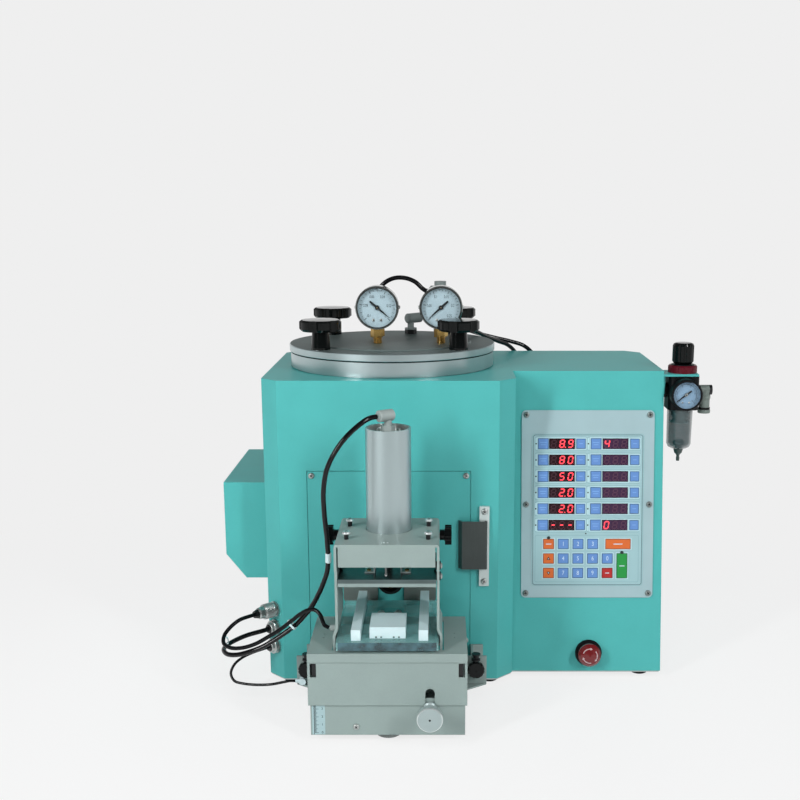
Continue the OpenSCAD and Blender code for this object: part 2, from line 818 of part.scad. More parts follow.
module lid_elbows() {
    color("gainsboro") {
        translate([elbow_x, elbow_y, lid_top]) push_elbow(elbow_h, 19.8, 45);
        translate([riser_x, riser_y, link_z - 12]) capped_elbow(riser_x - 50, 180);
        translate([riser_x, riser_y, lid_top + 11]) side_barrel(8.8, 16.97, 45);
        // Straight push-in on the left riser
        translate([tee_x, tee_y, lid_top + tee_h - 14]) {
            cylinder(r = 8.5, h = 6, $fn = 6);
            translate([0, 0, 6]) cylinder(r = 6.2, h = 8);
        }
    }
}

// Banjo round the riser with one barrel
module side_barrel(z, barrel_l, turn) {
    difference() {
        union() {
            cylinder(r = 9, h = 2 * z);
            rotate(turn) translate([0, 0, z]) rotate([0, 90, 0]) cylinder(r = 6, h = barrel_l);
        }
        translate([0, 0, -cut]) cylinder(r = nipple_r + fit, h = 2 * z + 2 * cut);
    }
}

// Lobed hand knob with its stud, drawn from the lid's face up
module lid_knob() {
    n = 6;
    color("black") {
        rotate_extrude() polygon([[0, 0], [stem_r, 0], [stem_r, 3], [stem_r - 1.5, lid_knob_h - lobe_h],
            [0, lid_knob_h - lobe_h]]);
        intersection() {
            translate([0, 0, lid_knob_h - lobe_h]) linear_extrude(lobe_h) difference() {
                circle(lid_knob_d / 2);
                for (i = [0:n - 1]) rotate(i * 360 / n) translate([lid_knob_d / 2 + 3.2, 0])
                    circle(7.6);
            }
            translate([0, 0, lid_knob_h - lobe_h]) rotate_extrude()
                polygon([[0, 0], [lid_knob_d / 2 - 3, 0], [lid_knob_d / 2, 3],
                    [lid_knob_d / 2, lobe_h - 3], [lid_knob_d / 2 - 3, lobe_h - 0.6], [0, lobe_h]]);
        }
    }
    color("silver") translate([0, 0, -stud_l + lid_t]) cylinder(r = stud_r, h = stud_l - lid_t);
}

module lid_knob_at(i) {
    rotate_about_pot(45 + 90 * i) translate([knob_circle_r, 0, rim_top]) rotate(30 - 90 * i) lid_knob();
}

module rotate_about_pot(a) translate([0, pot_y, 0]) rotate(a) children();

module lid_knob_1() lid_knob_at(0);
module lid_knob_2() lid_knob_at(1);
module lid_knob_3() lid_knob_at(2);
module lid_knob_4() lid_knob_at(3);

// Nozzle

module nozzle_guard() {
    r = guard_d / 2;
    color("black") translate([nozzle_x, outlet_front, nozzle_z]) facing_front()
        rotate_extrude() polygon([[nozzle_r + 0.2, 0], [r, 0], [r, outlet_front - guard_front - 5],
            [r - 5, outlet_front - guard_front], [nozzle_r + 0.2, outlet_front - guard_front]]);
}

module nozzle() {
    body_front = guard_front - 2;
    color("goldenrod") translate([nozzle_x, 0, nozzle_z]) facing_front() rotate_extrude()
        polygon([[1.2, -outlet_front + 2], [nozzle_r, -outlet_front + 2], [nozzle_r, -body_front],
            [4.2, -body_front], [1.8, -nozzle_tip], [1.2, -nozzle_tip]]);
}

// Shield beside the front cover

// Bar of the shield, and the plate on the cover whose notch goes round the guard
module front_plates() {
    color("lightsteelblue") difference() {
        translate([bar_x - bar_w / 2, -bar_t, bar_bottom]) cube([bar_w, bar_t, bar_top - bar_bottom]);
        for (z = bar_screw_zs)
            translate([bar_x, -bar_t - cut, z]) rotate([-90, 0, 0])
                cylinder(r = screw_r, h = bar_t + 2 * cut);
    }
    color("lightgray") difference() {
        translate([0, 0, (stop_low + stop_high) / 2]) facing_front() linear_extrude(stop_t)
            round_rect(2 * stop_half, stop_high - stop_low, 3);
        translate([nozzle_x, cut, nozzle_z]) facing_front() cylinder(r = guard_d / 2 + 0.4, h = 4 * stop_t);
        translate([nozzle_x - guard_d / 2 - 0.4, -2 * stop_t, stop_low - cut])
            cube([guard_d + 0.8, 3 * stop_t, nozzle_z - stop_low + cut]);
    }
}

// Bent steel sheet on the bar, its left edge folded back towards the cabinet
module shield_plate() {
    t = 1.5;
    front = -bar_t - shield_off;
    color("dimgray") translate([0, 0, shield_bottom]) linear_extrude(shield_top - shield_bottom)
        polygon([[shield_right, -bar_t], [shield_right, front + 1.5], [shield_right - 1.5, front],
            [shield_left + 4.5, front], [shield_left, -1.5], [shield_left + 1.6, -1.5],
            [shield_left + 5.5, front + t], [shield_right - 3, front + t], [shield_right - 3, -bar_t]]);
}

// Control panel

module panel_screw_spots() {
    for (x = [-1, 1], y = [-1, 0, 1])
        on_console(panel_x + x * (panel_w / 2 - panel_screw_in),
            panel_s + y * (panel_h / 2 - panel_screw_in)) children();
}

module control_panel() {
    color("lightsteelblue") difference() {
        on_console(panel_x, panel_s) linear_extrude(panel_t) round_rect(panel_w, panel_h, panel_corner);
        panel_screw_spots() translate([0, 0, -cut]) cylinder(r = screw_r, h = panel_t + 2 * cut);
    }
}

// Key places on the keypad: [x, y, width, height] from the film's middle
row_ys = [87.6, 66.3, 44.6, 23.2, 1.8, -19.8];
key_cols = [-51, -31.6, -12.2, 7.2];
key_rows = [-44.9, -64.2, -83.5];
function keypad_keys() = concat(
    [for (y = row_ys, x = [-58.9, -9.3, 10.4, 61.4]) [x, y, x < 0 && x > -20 || x > 50 ? 12 : 13, 13]],
    [for (y = key_rows, x = key_cols) [x, y, 14, 13]],
    [[40.6, key_rows[0], 33, 13], [26.6, key_rows[1], 14, 13], [26.6, key_rows[2], 14, 13],
     [46, (key_rows[1] + key_rows[2]) / 2, 14, 33]]);

module keypad() {
    win_w = 33.5;
    win_h = 13;
    color("aliceblue") on_console(panel_x, keypad_s) translate([0, 0, panel_t]) {
        difference() {
            linear_extrude(keypad_t) round_rect(keypad_w, keypad_h, 4);
            for (y = row_ys, x = [-34.1, 36]) translate([x - win_w / 2, y - win_h / 2, keypad_t / 2])
                cube([win_w, win_h, keypad_t]);
        }
        for (k = keypad_keys()) translate([k[0] - k[2] / 2, k[1] - k[3] / 2, keypad_t])
            cube([k[2], k[3], key_rise]);
    }
}

// Collar of the stop button: ring, threaded body and switch block behind
module estop_collar() {
    color("dimgray") on_console(estop_x, estop_s) rotate_extrude()
        polygon([[7.1, -28], [estop_bore + 5, -28], [estop_bore + 5, -sheet - 3], [estop_bore, -sheet - 3],
            [estop_bore, 0], [17.5, 0], [17.5, 2], [16, estop_ring], [7.1, estop_ring]]);
}

module estop_button() {
    z = estop_ring + estop_travel + slide_gap + 3;
    color("red") on_console(estop_x, estop_s) rotate_extrude()
        polygon([[0, -22], [7, -22], [7, z - 3], [estop_r - 4, z - 3], [estop_r, z], [estop_r, z + 5],
            [estop_r - 3, z + 8.5], [estop_r - 8, z + 10], [0, z + 10.5]]);
}

// Filter regulator on the console's right side

module regulator_bracket() {
    color("mediumturquoise") difference() {
        union() {
            translate([con_right, reg_y - 21, reg_bracket_z]) cube([reg_x - con_right + 18, 42, reg_plate_t]);
            translate([con_right, reg_y - 15, reg_bracket_z - 24]) cube([3, 30, 24]);
        }
        translate([reg_x, reg_y, reg_bracket_z - cut]) cylinder(r = neck_r + 0.2, h = 10);
    }
}

module regulator_body() {
    w = reg_w;
    color("black") translate([reg_x, reg_y, 0]) {
        difference() {
            union() {
                translate([0, 0, reg_top - reg_body_h]) linear_extrude(reg_body_h) round_rect(w, w, 7);
                translate([0, 0, reg_top]) cylinder(r = neck_r, h = reg_plate_t + 11);
                // Hexagonal plug in the left port
                translate([-w / 2 - 3.5, 0, reg_port_z]) rotate([0, 90, 0]) cylinder(r = 10, h = 4, $fn = 6);
            }
            translate([w / 2 - 8, 0, reg_port_z]) rotate([0, 90, 0]) cylinder(r = 6 + fit, h = 10);
            translate([0, -w / 2 + 6, reg_gauge_z]) rotate([90, 0, 0]) cylinder(r = 5 + fit, h = 10);
            translate([0, 0, reg_top + reg_plate_t]) cylinder(r = 5 + fit, h = 20);
        }
    }
    // Red nut that clamps the bracket
    color("firebrick") translate([reg_x, reg_y, reg_top + reg_plate_t]) difference() {
        union() {
            cylinder(r = 19, h = 8.5);
            translate([0, 0, 8.5]) cylinder(r1 = 19, r2 = 17.5, h = 1.5);
        }
        translate([0, 0, -cut]) cylinder(r = neck_r + fit, h = 20);
        for (a = [0:30:330]) rotate(a) translate([20.4, 0, 2]) cylinder(r = 2.2, h = 10);
    }
}

module regulator_knob() {
    h = 28;
    z0 = reg_top + reg_plate_t + 11.3;
    color("black") translate([reg_x, reg_y, z0]) {
        difference() {
            rotate_extrude() polygon([[0, 0], [reg_knob_d / 2 - 3, 0], [reg_knob_d / 2, 3.5],
                [reg_knob_d / 2, h - 4], [reg_knob_d / 2 - 1.2, h - 1.2], [reg_knob_d / 2 - 4, h], [0, h]]);
            for (a = [0:30:330]) rotate(a) translate([reg_knob_d / 2 + 1, 0, 4]) cylinder(r = 2, h = h);
        }
        translate([0, 0, -8]) cylinder(r = 5, h = 8);
    }
}

module filter_bowl() {
    r = bowl_d / 2;
    h = bowl_h;
    color("slategray", 0.5) translate([reg_x - 1, reg_y, bowl_top - h]) rotate_extrude()
        polygon([[4 + fit, 0], [r - 6, 0], [r - 2.5, 2], [r - 0.8, 6], [r, h], [r - 2.5, h],
            [r - 3.3, 7], [r - 5, 4.2], [r - 7, 2.5], [4 + fit, 2.5]]);
}

// Twist drain in the foot of the bowl
module filter_drain() {
    color("darkslategray") translate([reg_x - 1, reg_y, bowl_top - bowl_h]) rotate_extrude()
        polygon([[0, -18], [2.2, -18], [2.4, -13], [1.8, -12], [2.6, -9.5], [5, -7], [6.5, -1.5], [6.5, -0.2],
            [4, -0.2], [4, 4], [7, 4], [7, 6], [0, 7]]);
}

module reg_gauge_frame() {
    translate([reg_x - 0.5, reg_y - reg_w / 2 - 3, reg_gauge_z]) facing_front() children();
}

module regulator_gauge() {
    color("black") reg_gauge_frame() {
        gauge_case(reg_gauge_r, reg_gauge_t);
        translate([0.5, 0, -9]) cylinder(r = 5, h = 9);
    }
    color("lightsteelblue") reg_gauge_frame() gauge_dial(reg_gauge_r, reg_gauge_t);
    color("azure", 0.4) reg_gauge_frame() gauge_glass(reg_gauge_r, reg_gauge_t);
}

module regulator_pointer() {
    color("black") reg_gauge_frame() gauge_pointer(reg_gauge_r, reg_gauge_t, 218);
}

// Push-in fittings on the fixed body: regulator inlet, rear elbows, clamp box
module air_fittings() {
    color("gainsboro") {
        difference() {
            union() {
                translate([reg_x + reg_w / 2 - 8, reg_y, reg_port_z]) rotate([0, 90, 0]) cylinder(r = 6, h = 9);
                translate([reg_x + reg_w / 2, reg_y, reg_port_z]) rotate([0, 90, 0])
                    cylinder(r = 6.5, h = 20);
                translate([reg_elbow_x, reg_y, reg_port_z - 31]) cylinder(r = 7, h = 31);
            }
            translate([reg_elbow_x, reg_y, reg_port_z - 31 - cut]) cylinder(r = inlet_hose_r, h = 16 + cut);
        }
        for (x = rear_elbow_xs) {
            translate([x, rear_elbow_y, rear_elbow_z]) {
                barrel(13);
                facing_front() cylinder(r = 5, h = rear_elbow_y - cab_d + 4);
            }
            translate([x, cab_d + sheet + 5, rear_elbow_z]) facing_front() difference() {
                cylinder(r = 8, h = 5, $fn = 6);
                translate([0, 0, -cut]) cylinder(r = 5 + fit, h = 8);
            }
        }
        // White fitting on the clamp box's left ear, for the thin cable
        translate([clamp_x - bracket_dx - 6, ear_y - ear_t, 31]) {
            facing_front() cylinder(r = 4.5, h = 9);
            translate([-9, -5, 0]) rotate([0, 90, 0]) cylinder(r = 2.6, h = 9);
        }
    }
}

// Wall of the regulator's inlet, for an 8 mm hose
inlet_hose_r = 4.05;

// Aviation sockets on the bevel and the mains inlet at the rear
module panel_sockets() {
    color("silver") for (z = socket_zs) on_bevel(z) rotate_extrude()
        polygon([[5, -10], [8, -10], [8, 0], [10, 0], [10, 2.5], [7.6, 2.5], [7.6, 5], [5, 5]]);
    color("black") translate([inlet_x, cab_d + sheet, inlet_z]) difference() {
        union() {
            translate([-24, 0, -11.5]) cube([48, 3, 23]);
            translate([-13.8, -20, -9.8]) cube([27.6, 20, 19.6]);
        }
        translate([-11, -12, -7]) cube([22, 20, 14]);
    }
}

// Plugs on the sockets, with their cables' strain reliefs
module cable_plugs() {
    color("silver") {
        on_bevel(socket_zs[0]) plug(plug_l);
        on_bevel(socket_zs[1]) plug(short_plug_l);
        on_bevel(socket_zs[2]) plug(short_plug_l);
    }
}

module plug(l) {
    rotate_extrude() polygon([[0, 5.3], [9.5, 5.3], [9.5, 6.5], [9.5, l * 0.55], [8, l * 0.6],
        [7.2, l * 0.8], [6, l * 0.85], [4.5, l], [0, l]]);
}

// Clamp: fixed box, brackets and hand screws

module clamp_brackets() {
    for (s = [-1, 1]) translate([clamp_x + s * bracket_dx, 0, 0]) {
        color("darkgray") difference() {
            union() {
                translate([-bracket_out, -ear_t, bracket_z]) cube([bracket_w, ear_t, bracket_h]);
                translate([s > 0 ? -bracket_out : bracket_out - ear_t, ear_y, bracket_z])
                    cube([ear_t, -ear_y, bracket_h]);
                translate([-bracket_out, ear_y, bracket_z]) cube([bracket_w, ear_t, bracket_h]);
            }
            translate([0, ear_y - cut, knob_z]) rotate([-90, 0, 0]) cylinder(r = knob_stud_r + fit, h = 6);
        }
        // Black bobbin on the ear above the hand screw
        color("black") translate([0, ear_y - ear_t - bobbin_r - 0.5, bracket_z + bracket_h - 1]) rotate_extrude()
            polygon([[0, 0], [bobbin_r, 0], [bobbin_r, 2], [bobbin_r - 2, 3.5], [bobbin_r - 2, 5.5],
                [bobbin_r, 7], [bobbin_r, 9], [0, 9]]);
        color("black") translate([0, ear_y - ear_t, bracket_z + bracket_h + 0.5]) facing_front()
            cylinder(r = 1.4, h = 1.2);
    }
}

module clamp_box() {
    front = -clamp_front + sheet + slide_gap + 1;
    back = ear_y - ear_t;
    color("lightgray") difference() {
        translate([clamp_x, 0, 0]) {
            translate([-box_w / 2, front, box_bottom]) cube([box_w, back - front + cut, sheet]);
            translate([-box_w / 2, front, box_bottom]) cube([box_w, sheet, box_front_top - box_bottom]);
            for (x = [-box_w / 2, box_w / 2 - sheet]) translate([x, front, box_bottom])
                cube([sheet, back - front + cut, box_wall_top - box_bottom]);
            translate([-box_w / 2, back, box_bottom]) cube([box_w, ear_t, ear_top - box_bottom]);
            translate([-ear_w / 2, back, ear_low]) cube([ear_w, ear_t, ear_top - ear_low]);
            // Three-cornered shelf under each ear
            for (s = [0, 1]) mirror([s, 0, 0]) translate([0, 0, ear_low]) linear_extrude(sheet)
                polygon([[cover_w / 2 + 1, back + 1], [ear_w / 2, back + 1], [ear_w / 2, back],
                    [cover_w / 2 + 1, back - 19]]);
        }
        translate([clamp_x, screw_y, box_bottom - cut]) cylinder(r = lead_r + fit, h = sheet + 2 * cut);
        translate([lock_x, front - cut, lock_z]) rotate([-90, 0, 0])
            cylinder(r = lock_stud_r + fit, h = sheet + 2 * cut);
        for (s = [-1, 1]) translate([clamp_x + s * bracket_dx, back - cut, knob_z]) rotate([-90, 0, 0])
            cylinder(r = knob_stud_r + 0.3, h = ear_t + 2 * cut);
    }
}

// Scalloped hand screw through an ear into its bracket, axis towards the front
module bracket_knob(s) {
    color("black") translate([clamp_x + s * bracket_dx, ear_y - ear_t, knob_z]) facing_front() {
        difference() {
            rotate_extrude() polygon([[0, 0.3], [5, 0.3], [6, 3], [10, 4], [10.8, 5.5], [10.8, 10],
                [9.6, 11.5], [0, 12]]);
            for (a = [0:30:330]) rotate(a) translate([11.7, 0, 3]) cylinder(r = 1.7, h = 10);
        }
        translate([0, 0, -ear_t - 3]) cylinder(r = knob_stud_r, h = ear_t + 3.4);
    }
}

module bracket_knob_left() bracket_knob(-1);
module bracket_knob_right() bracket_knob(1);

// Silver lock knob whose stud passes the sliding cover's slot
module lock_knob() {
    inner = clamp_front - 6;
    color("silver") translate([lock_x, 0, lock_z]) facing_front() rotate_extrude()
        polygon([[0, inner], [lock_stud_r, inner], [lock_stud_r, clamp_front + 0.3],
            [7.5, clamp_front + 0.3], [7.5, clamp_front + 3], [5.5, clamp_front + 4.5],
            [5.5, clamp_front + 9], [10, clamp_front + 22], [13.8, clamp_front + 25],
            [15, clamp_front + 26.5], [15, clamp_front + 34], [14, clamp_front + 35.2],
            [1.2, clamp_front + 35.2], [1.2, clamp_front + 33.5], [0, clamp_front + 33.5]]);
}

// Knurled wheel under the box with the lead screw that lifts the clamp
module height_wheel() {
    color("silver") translate([clamp_x, screw_y, 0]) {
        difference() {
            rotate_extrude() polygon([[0, wheel_bottom], [wheel_r - 1.5, wheel_bottom],
                [wheel_r, wheel_bottom + 1], [wheel_r, wheel_bottom + 4], [wheel_r - 1, wheel_bottom + 5],
                [wheel_hub_r, wheel_bottom + 5], [wheel_hub_r - 1, wheel_top], [0, wheel_top]]);
            for (a = [0:15:345]) rotate(a) translate([wheel_r + flute_r / 2 + 0.1, 0, 0])
                cylinder(r = flute_r, h = 2 * wheel_top);
        }
        translate([0, 0, wheel_top]) cylinder(r = lead_r, h = lead_top - wheel_top);
    }
}

// Clamp: cover that slides up and down over the box

module sliding_cover() {
    w = cover_w;
    d = clamp_front + cover_back;
    nut_z = 62;
    color("lightgray") translate([clamp_x, 0, 0]) difference() {
        union() {
            // Top with a short lip, then the front plate, 1 mm behind the lip
            translate([-w / 2, -clamp_front, cover_top - sheet]) cube([w, d, sheet]);
            translate([-w / 2, -clamp_front, cover_top - lip_h]) cube([w, sheet + 1, lip_h]);
            translate([-w / 2, -clamp_front + 1, cover_bottom])
                cube([w, sheet, cover_top - cover_bottom - sheet]);
            for (x = [-w / 2, w / 2 - sheet])
                translate([x, -clamp_front + 1, cover_bottom])
                    cube([sheet, clamp_front - 1 + ear_y - ear_t - 3, cover_top - cover_bottom - sheet]);
            // Cross bar with the nut for the lead screw
            translate([-w / 2 + sheet, screw_y - 7, nut_z]) cube([w - 2 * sheet, 14, 3]);
            translate([0, screw_y, nut_z]) cylinder(r = 8, h = 8);
        }
        translate([0, screw_y, nut_z - cut]) cylinder(r = lead_r + 0.1, h = 12);
        // Slot for the lock knob's stud, open at the bottom
        translate([lock_x - clamp_x, -clamp_front - cut, 0]) {
            translate([-slot_r, 0, cover_bottom - cut]) cube([2 * slot_r, 6, slot_top - slot_r - cover_bottom + cut]);
            translate([0, 0, slot_top - slot_r]) rotate([-90, 0, 0]) cylinder(r = slot_r, h = 6);
        }
        // Windows at the front plate's top corners
        for (x = [-w / 2 + notch_in, w / 2 - notch_in - notch_w])
            translate([x, -clamp_front, notch_low]) cube([notch_w, 4, notch_top - notch_low]);
        // Slots in the top for the clamp frame's legs
        for (s = [-1, 1]) translate([s * leg_dx - 3, slot_y0, cover_top - 2 * sheet])
            cube([6, slot_y1 - slot_y0, 3 * sheet]);
        // Small holes beside the slots
        for (s = [-1, 1], y = [-112, -100]) translate([s * 78, y, cover_top - 2 * sheet])
            cylinder(r = 1.3, h = 3 * sheet, $fn = 24);
    }
}

// Middle of a frame leg below the joggle, from the clamp's middle
leg_dx = frame_w / 2 - frame_t / 2 + joggle;

// Two rods in their black end holders, under the sliding cover's top
module guide_rods() {
    top = cover_top - sheet;
    for (s = [-1, 1]) translate([clamp_x + s * rod_dx, 0, 0]) {
        color("silver") translate([0, rod_y1, rod_z]) facing_front() cylinder(r = rod_r, h = rod_y1 - rod_y0 - 0.2);
        color("black") for (y = [rod_y0 + 0.2, rod_y1 - 6]) difference() {
            translate([-6, y, rod_z - 7]) cube([12, 6, top - rod_z + 7]);
            translate([0, y - cut, rod_z]) rotate([-90, 0, 0]) cylinder(r = rod_r, h = 8);
        }
    }
}

// Clamp: carriage that slides to and from the nozzle

module carriage() {
    low = rod_z - bearing_h / 2;
    color("dimgray") translate([clamp_x, 0, 0]) {
        translate([-rod_dx - bearing_w / 2, bearing_y0, cross_z - cross_t])
            cube([2 * rod_dx + bearing_w, bearing_y1 - bearing_y0, cross_t]);
        for (s = [-1, 1]) translate([s * rod_dx, 0, 0]) difference() {
            translate([-bearing_w / 2, bearing_y0, low]) cube([bearing_w, bearing_y1 - bearing_y0, bearing_h]);
            translate([0, bearing_y0 - cut, rod_z]) rotate([-90, 0, 0])
                cylinder(r = rod_r + fit, h = bearing_y1 - bearing_y0 + 2 * cut);
        }
    }
}

// One bent sheet: top, two legs with a joggle, front flange, platform tabs
module clamp_frame() {
    o = frame_w / 2;
    t = frame_t;
    leg = [[o, frame_top - 6], [o, joggle_z], [o + joggle, joggle_z - joggle_h], [o + joggle, cross_z],
        [o + joggle - t, cross_z], [o + joggle - t, joggle_z - joggle_h - 1],
        [o - t, joggle_z - 1], [o - t, frame_top - 6]];
    color("lightgray") translate([clamp_x, 0, 0]) difference() {
        union() {
            // Top and upper sides, rounded at the bends
            translate([0, frame_y1, 0]) rotate([90, 0, 0]) linear_extrude(frame_y1 - frame_y0)
                difference() {
                    union() {
                        translate([0, frame_top - 4]) square([2 * o - 8, 8], center = true);
                        translate([0, frame_top - 14 - 4]) square([2 * o, 28 - 0], center = true);
                        for (s = [-1, 1]) translate([s * (o - 4), frame_top - 4]) circle(4);
                    }
                    translate([0, frame_top - t - 17]) square([2 * o - 2 * t, 34], center = true);
                }
            // Legs
            for (s = [0, 1]) mirror([s, 0, 0]) translate([0, leg_y1, 0]) rotate([90, 0, 0])
                linear_extrude(leg_y1 - leg_y0) polygon(leg);
            // Front flange between the sides
            translate([-o + t + flange_gap, frame_y0, frame_top - flange_h])
                cube([2 * (o - t - flange_gap), t, flange_h - t / 2]);
            // Tabs that carry the platform
            for (s = [0, 1]) mirror([s, 0, 0]) translate([o - 14, leg_y0 + 10, cover_top + 0.7])
                cube([14 + joggle - t / 2, 55, platform_gap - 0.7]);
            // Gland on the left leg for the sensor cable
            translate([-o - joggle - 6, -115, 125.5]) rotate([0, 90, 0]) cylinder(r = 4, h = 6.5);
        }
        translate([0, cyl_y, frame_top - 2 * t]) cylinder(r = cyl_r + 0.6, h = 3 * t);
        for (s = [-1, 1], y = post_ys) translate([s * post_dx, y, frame_top - 2 * t])
            cylinder(r = 2, h = 3 * t);
        for (s = [-1, 1]) translate([s * o, star_y, star_z]) rotate([0, 90, 0])
            cylinder(r = star_stud_r + fit, h = 4 * t, center = true);
        for (s = [-1, 1], z = side_screw_zs) translate([s * o, side_screw_y, z]) rotate([0, 90, 0])
            cylinder(r = 2, h = 4 * t, center = true);
        // Upper sides are narrower than the top below the bend
        for (s = [-1, 1]) translate([s * (o - t / 2), 0, frame_top - frame_step]) {
            translate([-4, leg_y1, -6]) cube([8, 60, 14]);
        }
    }
}

// Air cylinder: tube, lower head under the frame's top, upper cap inside the rim
module cylinder_body() {
    r = cyl_r;
    low = frame_top - frame_t;
    translate([cyl_x, cyl_y, 0]) {
        color("gainsboro") difference() {
            translate([0, 0, low + fit]) cylinder(r = r, h = cyl_top - low - fit);
            translate([0, 0, low - cut]) cylinder(r = r - cyl_wall, h = cyl_h + 20);
        }
        color("silver") difference() {
            union() {
                translate([0, 0, cyl_low]) cylinder(r = r + 6, h = low - cyl_low);
                translate([0, 0, low]) cylinder(r = r - cyl_wall, h = 8);
            }
            translate([0, 0, cyl_low - cut]) cylinder(r = rod_top_r + fit, h = 40);
            post_clearance();
        }
        // Upper cap with its retaining ring and cap screws
        color("silver") {
            difference() {
                translate([0, 0, cyl_top - cap_in - 10]) cylinder(r = r - cyl_wall, h = 10);
                translate([0, 0, cyl_top - cap_in - 12]) cylinder(r = 4 + fit, h = 14);
            }
            for (a = [45:90:315]) rotate(a) translate([17, 0, cyl_top - cap_in]) cylinder(r = 2.6, h = 2.5);
        }
    }
}

module post_clearance() {
    for (s = [-1, 1], y = post_ys) translate([s * post_dx + clamp_x - cyl_x, y - cyl_y, cyl_low - cut])
        cylinder(r = 3, h = 40);
}

module cylinder_elbow() {
    stem = cyl_top - cap_in;
    color("gainsboro") translate([cyl_x, cyl_y, stem]) {
        translate([0, 0, -9]) cylinder(r = 4, h = 9);
        push_elbow(cyl_elbow_h, 15, 180 + atan(3 / 4));
    }
}

// Pan head screws on black posts, and the four screws in the frame's sides
module frame_screws() {
    for (s = [-1, 1], y = post_ys) translate([clamp_x + s * post_dx, y, frame_top]) {
        color("black") difference() {
            cylinder(r = 2.7, h = 6.5);
            translate([0, 0, -cut]) cylinder(r = 2, h = 9);
        }
        color("white") translate([0, 0, 6.5]) pan_screw(2, 4.6, 3, 6.5 + frame_t + 2);
    }
    for (s = [-1, 1], z = side_screw_zs)
        color("silver") translate([clamp_x + s * frame_w / 2, side_screw_y, z]) rotate([0, s * 90, 0])
            pan_screw(2, 3.6, 2.4, frame_t);
}

module platform() {
    color("lightcyan", 0.4) difference() {
        translate([clamp_x, (platform_y0 + platform_y1) / 2, platform_z]) linear_extrude(platform_t)
            round_rect(platform_w, platform_y1 - platform_y0, 3);
        // Slots along which the guides' pegs are set
        for (s = [-1, 1], y = peg_ys) translate([peg_slot_x + s * peg_slot_dx, y, platform_z - cut])
            linear_extrude(platform_t + 2 * cut) round_rect(peg_slot_l, 2 * peg_r + 0.3, peg_r + 0.1);
    }
}

// Middle between the two mould guides
guide_x = clamp_x + 2.7;

// White guide strips, the stop block and its two posts
module mould_guides() {
    color("white") {
        for (s = [-1, 1]) {
            translate([guide_x + s * guide_dx - guide_w / 2, guide_y0, plat_top])
                cube([guide_w, guide_y1 - guide_y0, guide_h]);
            for (y = peg_ys) translate([guide_x + s * guide_dx, y, platform_z + 2])
                cylinder(r = peg_r - fit, h = platform_t - 2);
        }
        difference() {
            translate([clamp_x - stop_w / 2, stop_y0, plat_top]) cube([stop_w, stop_y1 - stop_y0, guide_h]);
            translate([clamp_x - stop_w / 2 - cut, stop_y0 - cut, plat_top + guide_h - 1.5])
                cube([stop_w + 2 * cut, cut + 1.5, 3]);
        }
        for (s = [-1, 1]) translate([clamp_x + s * 10.3, stop_y1, plat_top + guide_h / 2 + 1.5])
            rotate([-90, 0, 0]) cylinder(r = 4.8, h = 11);
    }
}

// Five-lobed hand screw through a frame side, drawn along +Z from the side
module star_knob() {
    n = 8;
    color("black") {
        translate([0, 0, 0.3]) rotate_extrude() polygon([[0, 0], [6.5, 0], [6.5, 5], [7.5, 6.2], [0, 6.2]]);
        translate([0, 0, 6.5]) linear_extrude(8) difference() {
            circle(12.2);
            for (i = [0:n - 1]) rotate(i * 360 / n) translate([13.4, 0]) circle(2.8);
        }
    }
    color("silver") translate([0, 0, -frame_t - 4]) cylinder(r = star_stud_r, h = frame_t + 4.3);
}

module star_knob_left() {
    translate([clamp_x - frame_w / 2, star_y, star_z]) rotate([0, -90, 0]) star_knob();
}

module star_knob_right() {
    translate([clamp_x + frame_w / 2, star_y, star_z]) rotate([0, 90, 0]) star_knob();
}

// Steel press plate with its pale pad below and two bent guides on top
module press_plate() {
    module outline() {
        difference() {
            translate([-press_w / 2, press_y0]) square([press_w, press_y1 - press_y0]);
            translate([nozzle_x - clamp_x - notch_half, press_y1 - notch_d]) square([2 * notch_half, notch_d + cut]);
        }
    }
    translate([clamp_x, 0, press_z]) {
        color("gainsboro") linear_extrude(pad_t) outline();
        color("dimgray") translate([0, 0, pad_t]) difference() {
            linear_extrude(press_t) outline();
            translate([cyl_x - clamp_x, cyl_y, -cut]) cylinder(r = 3, h = press_t + 2 * cut);
        }
        color("gainsboro") for (s = [0, 1]) mirror([s, 0, 0])
            translate([15, -128, pad_t + press_t]) {
                cube([12, 26, 1.5]);
                cube([1.5, 26, 9]);
            }
    }
}

module piston_rod() {
    z0 = press_z + pad_t + press_t;
    color("silver") translate([cyl_x, cyl_y, 0]) rotate_extrude()
        polygon([[0, z0 - press_t], [3 - fit, z0 - press_t], [3 - fit, z0], [7, z0], [7, z0 + 4],
            [rod_top_r, z0 + 4], [rod_top_r, piston_z], [cyl_r - cyl_wall - fit, piston_z],
            [cyl_r - cyl_wall - fit, piston_z + piston_h], [0, piston_z + piston_h]]);
}

// Hoses and cables

function ring_frame(a, b) = let(t = (b - a) / norm(b - a),
    u = abs(t[2]) > 0.9 ? [1, 0, 0] : [0, 0, 1], v = cross(t, u), n = v / norm(v))
    [t, n, cross(n, t)];

// Direction of the route at point i
function route_dir(p, i) = i == 0 ? p[1] - p[0] : i == len(p) - 1 ? p[i] - p[i - 1]
    : (p[i] - p[i - 1]) / norm(p[i] - p[i - 1]) + (p[i + 1] - p[i]) / norm(p[i + 1] - p[i]);

// Normals carried along the route so that the tube doesn't twist
function carry(n, t) = let(m = n - t * (n * t)) m / norm(m);
function unit(v) = v / norm(v);
function normals(p, i, n) = i == len(p) ? [] :
    let(m = carry(n, unit(route_dir(p, i)))) concat([m], normals(p, i + 1, m));

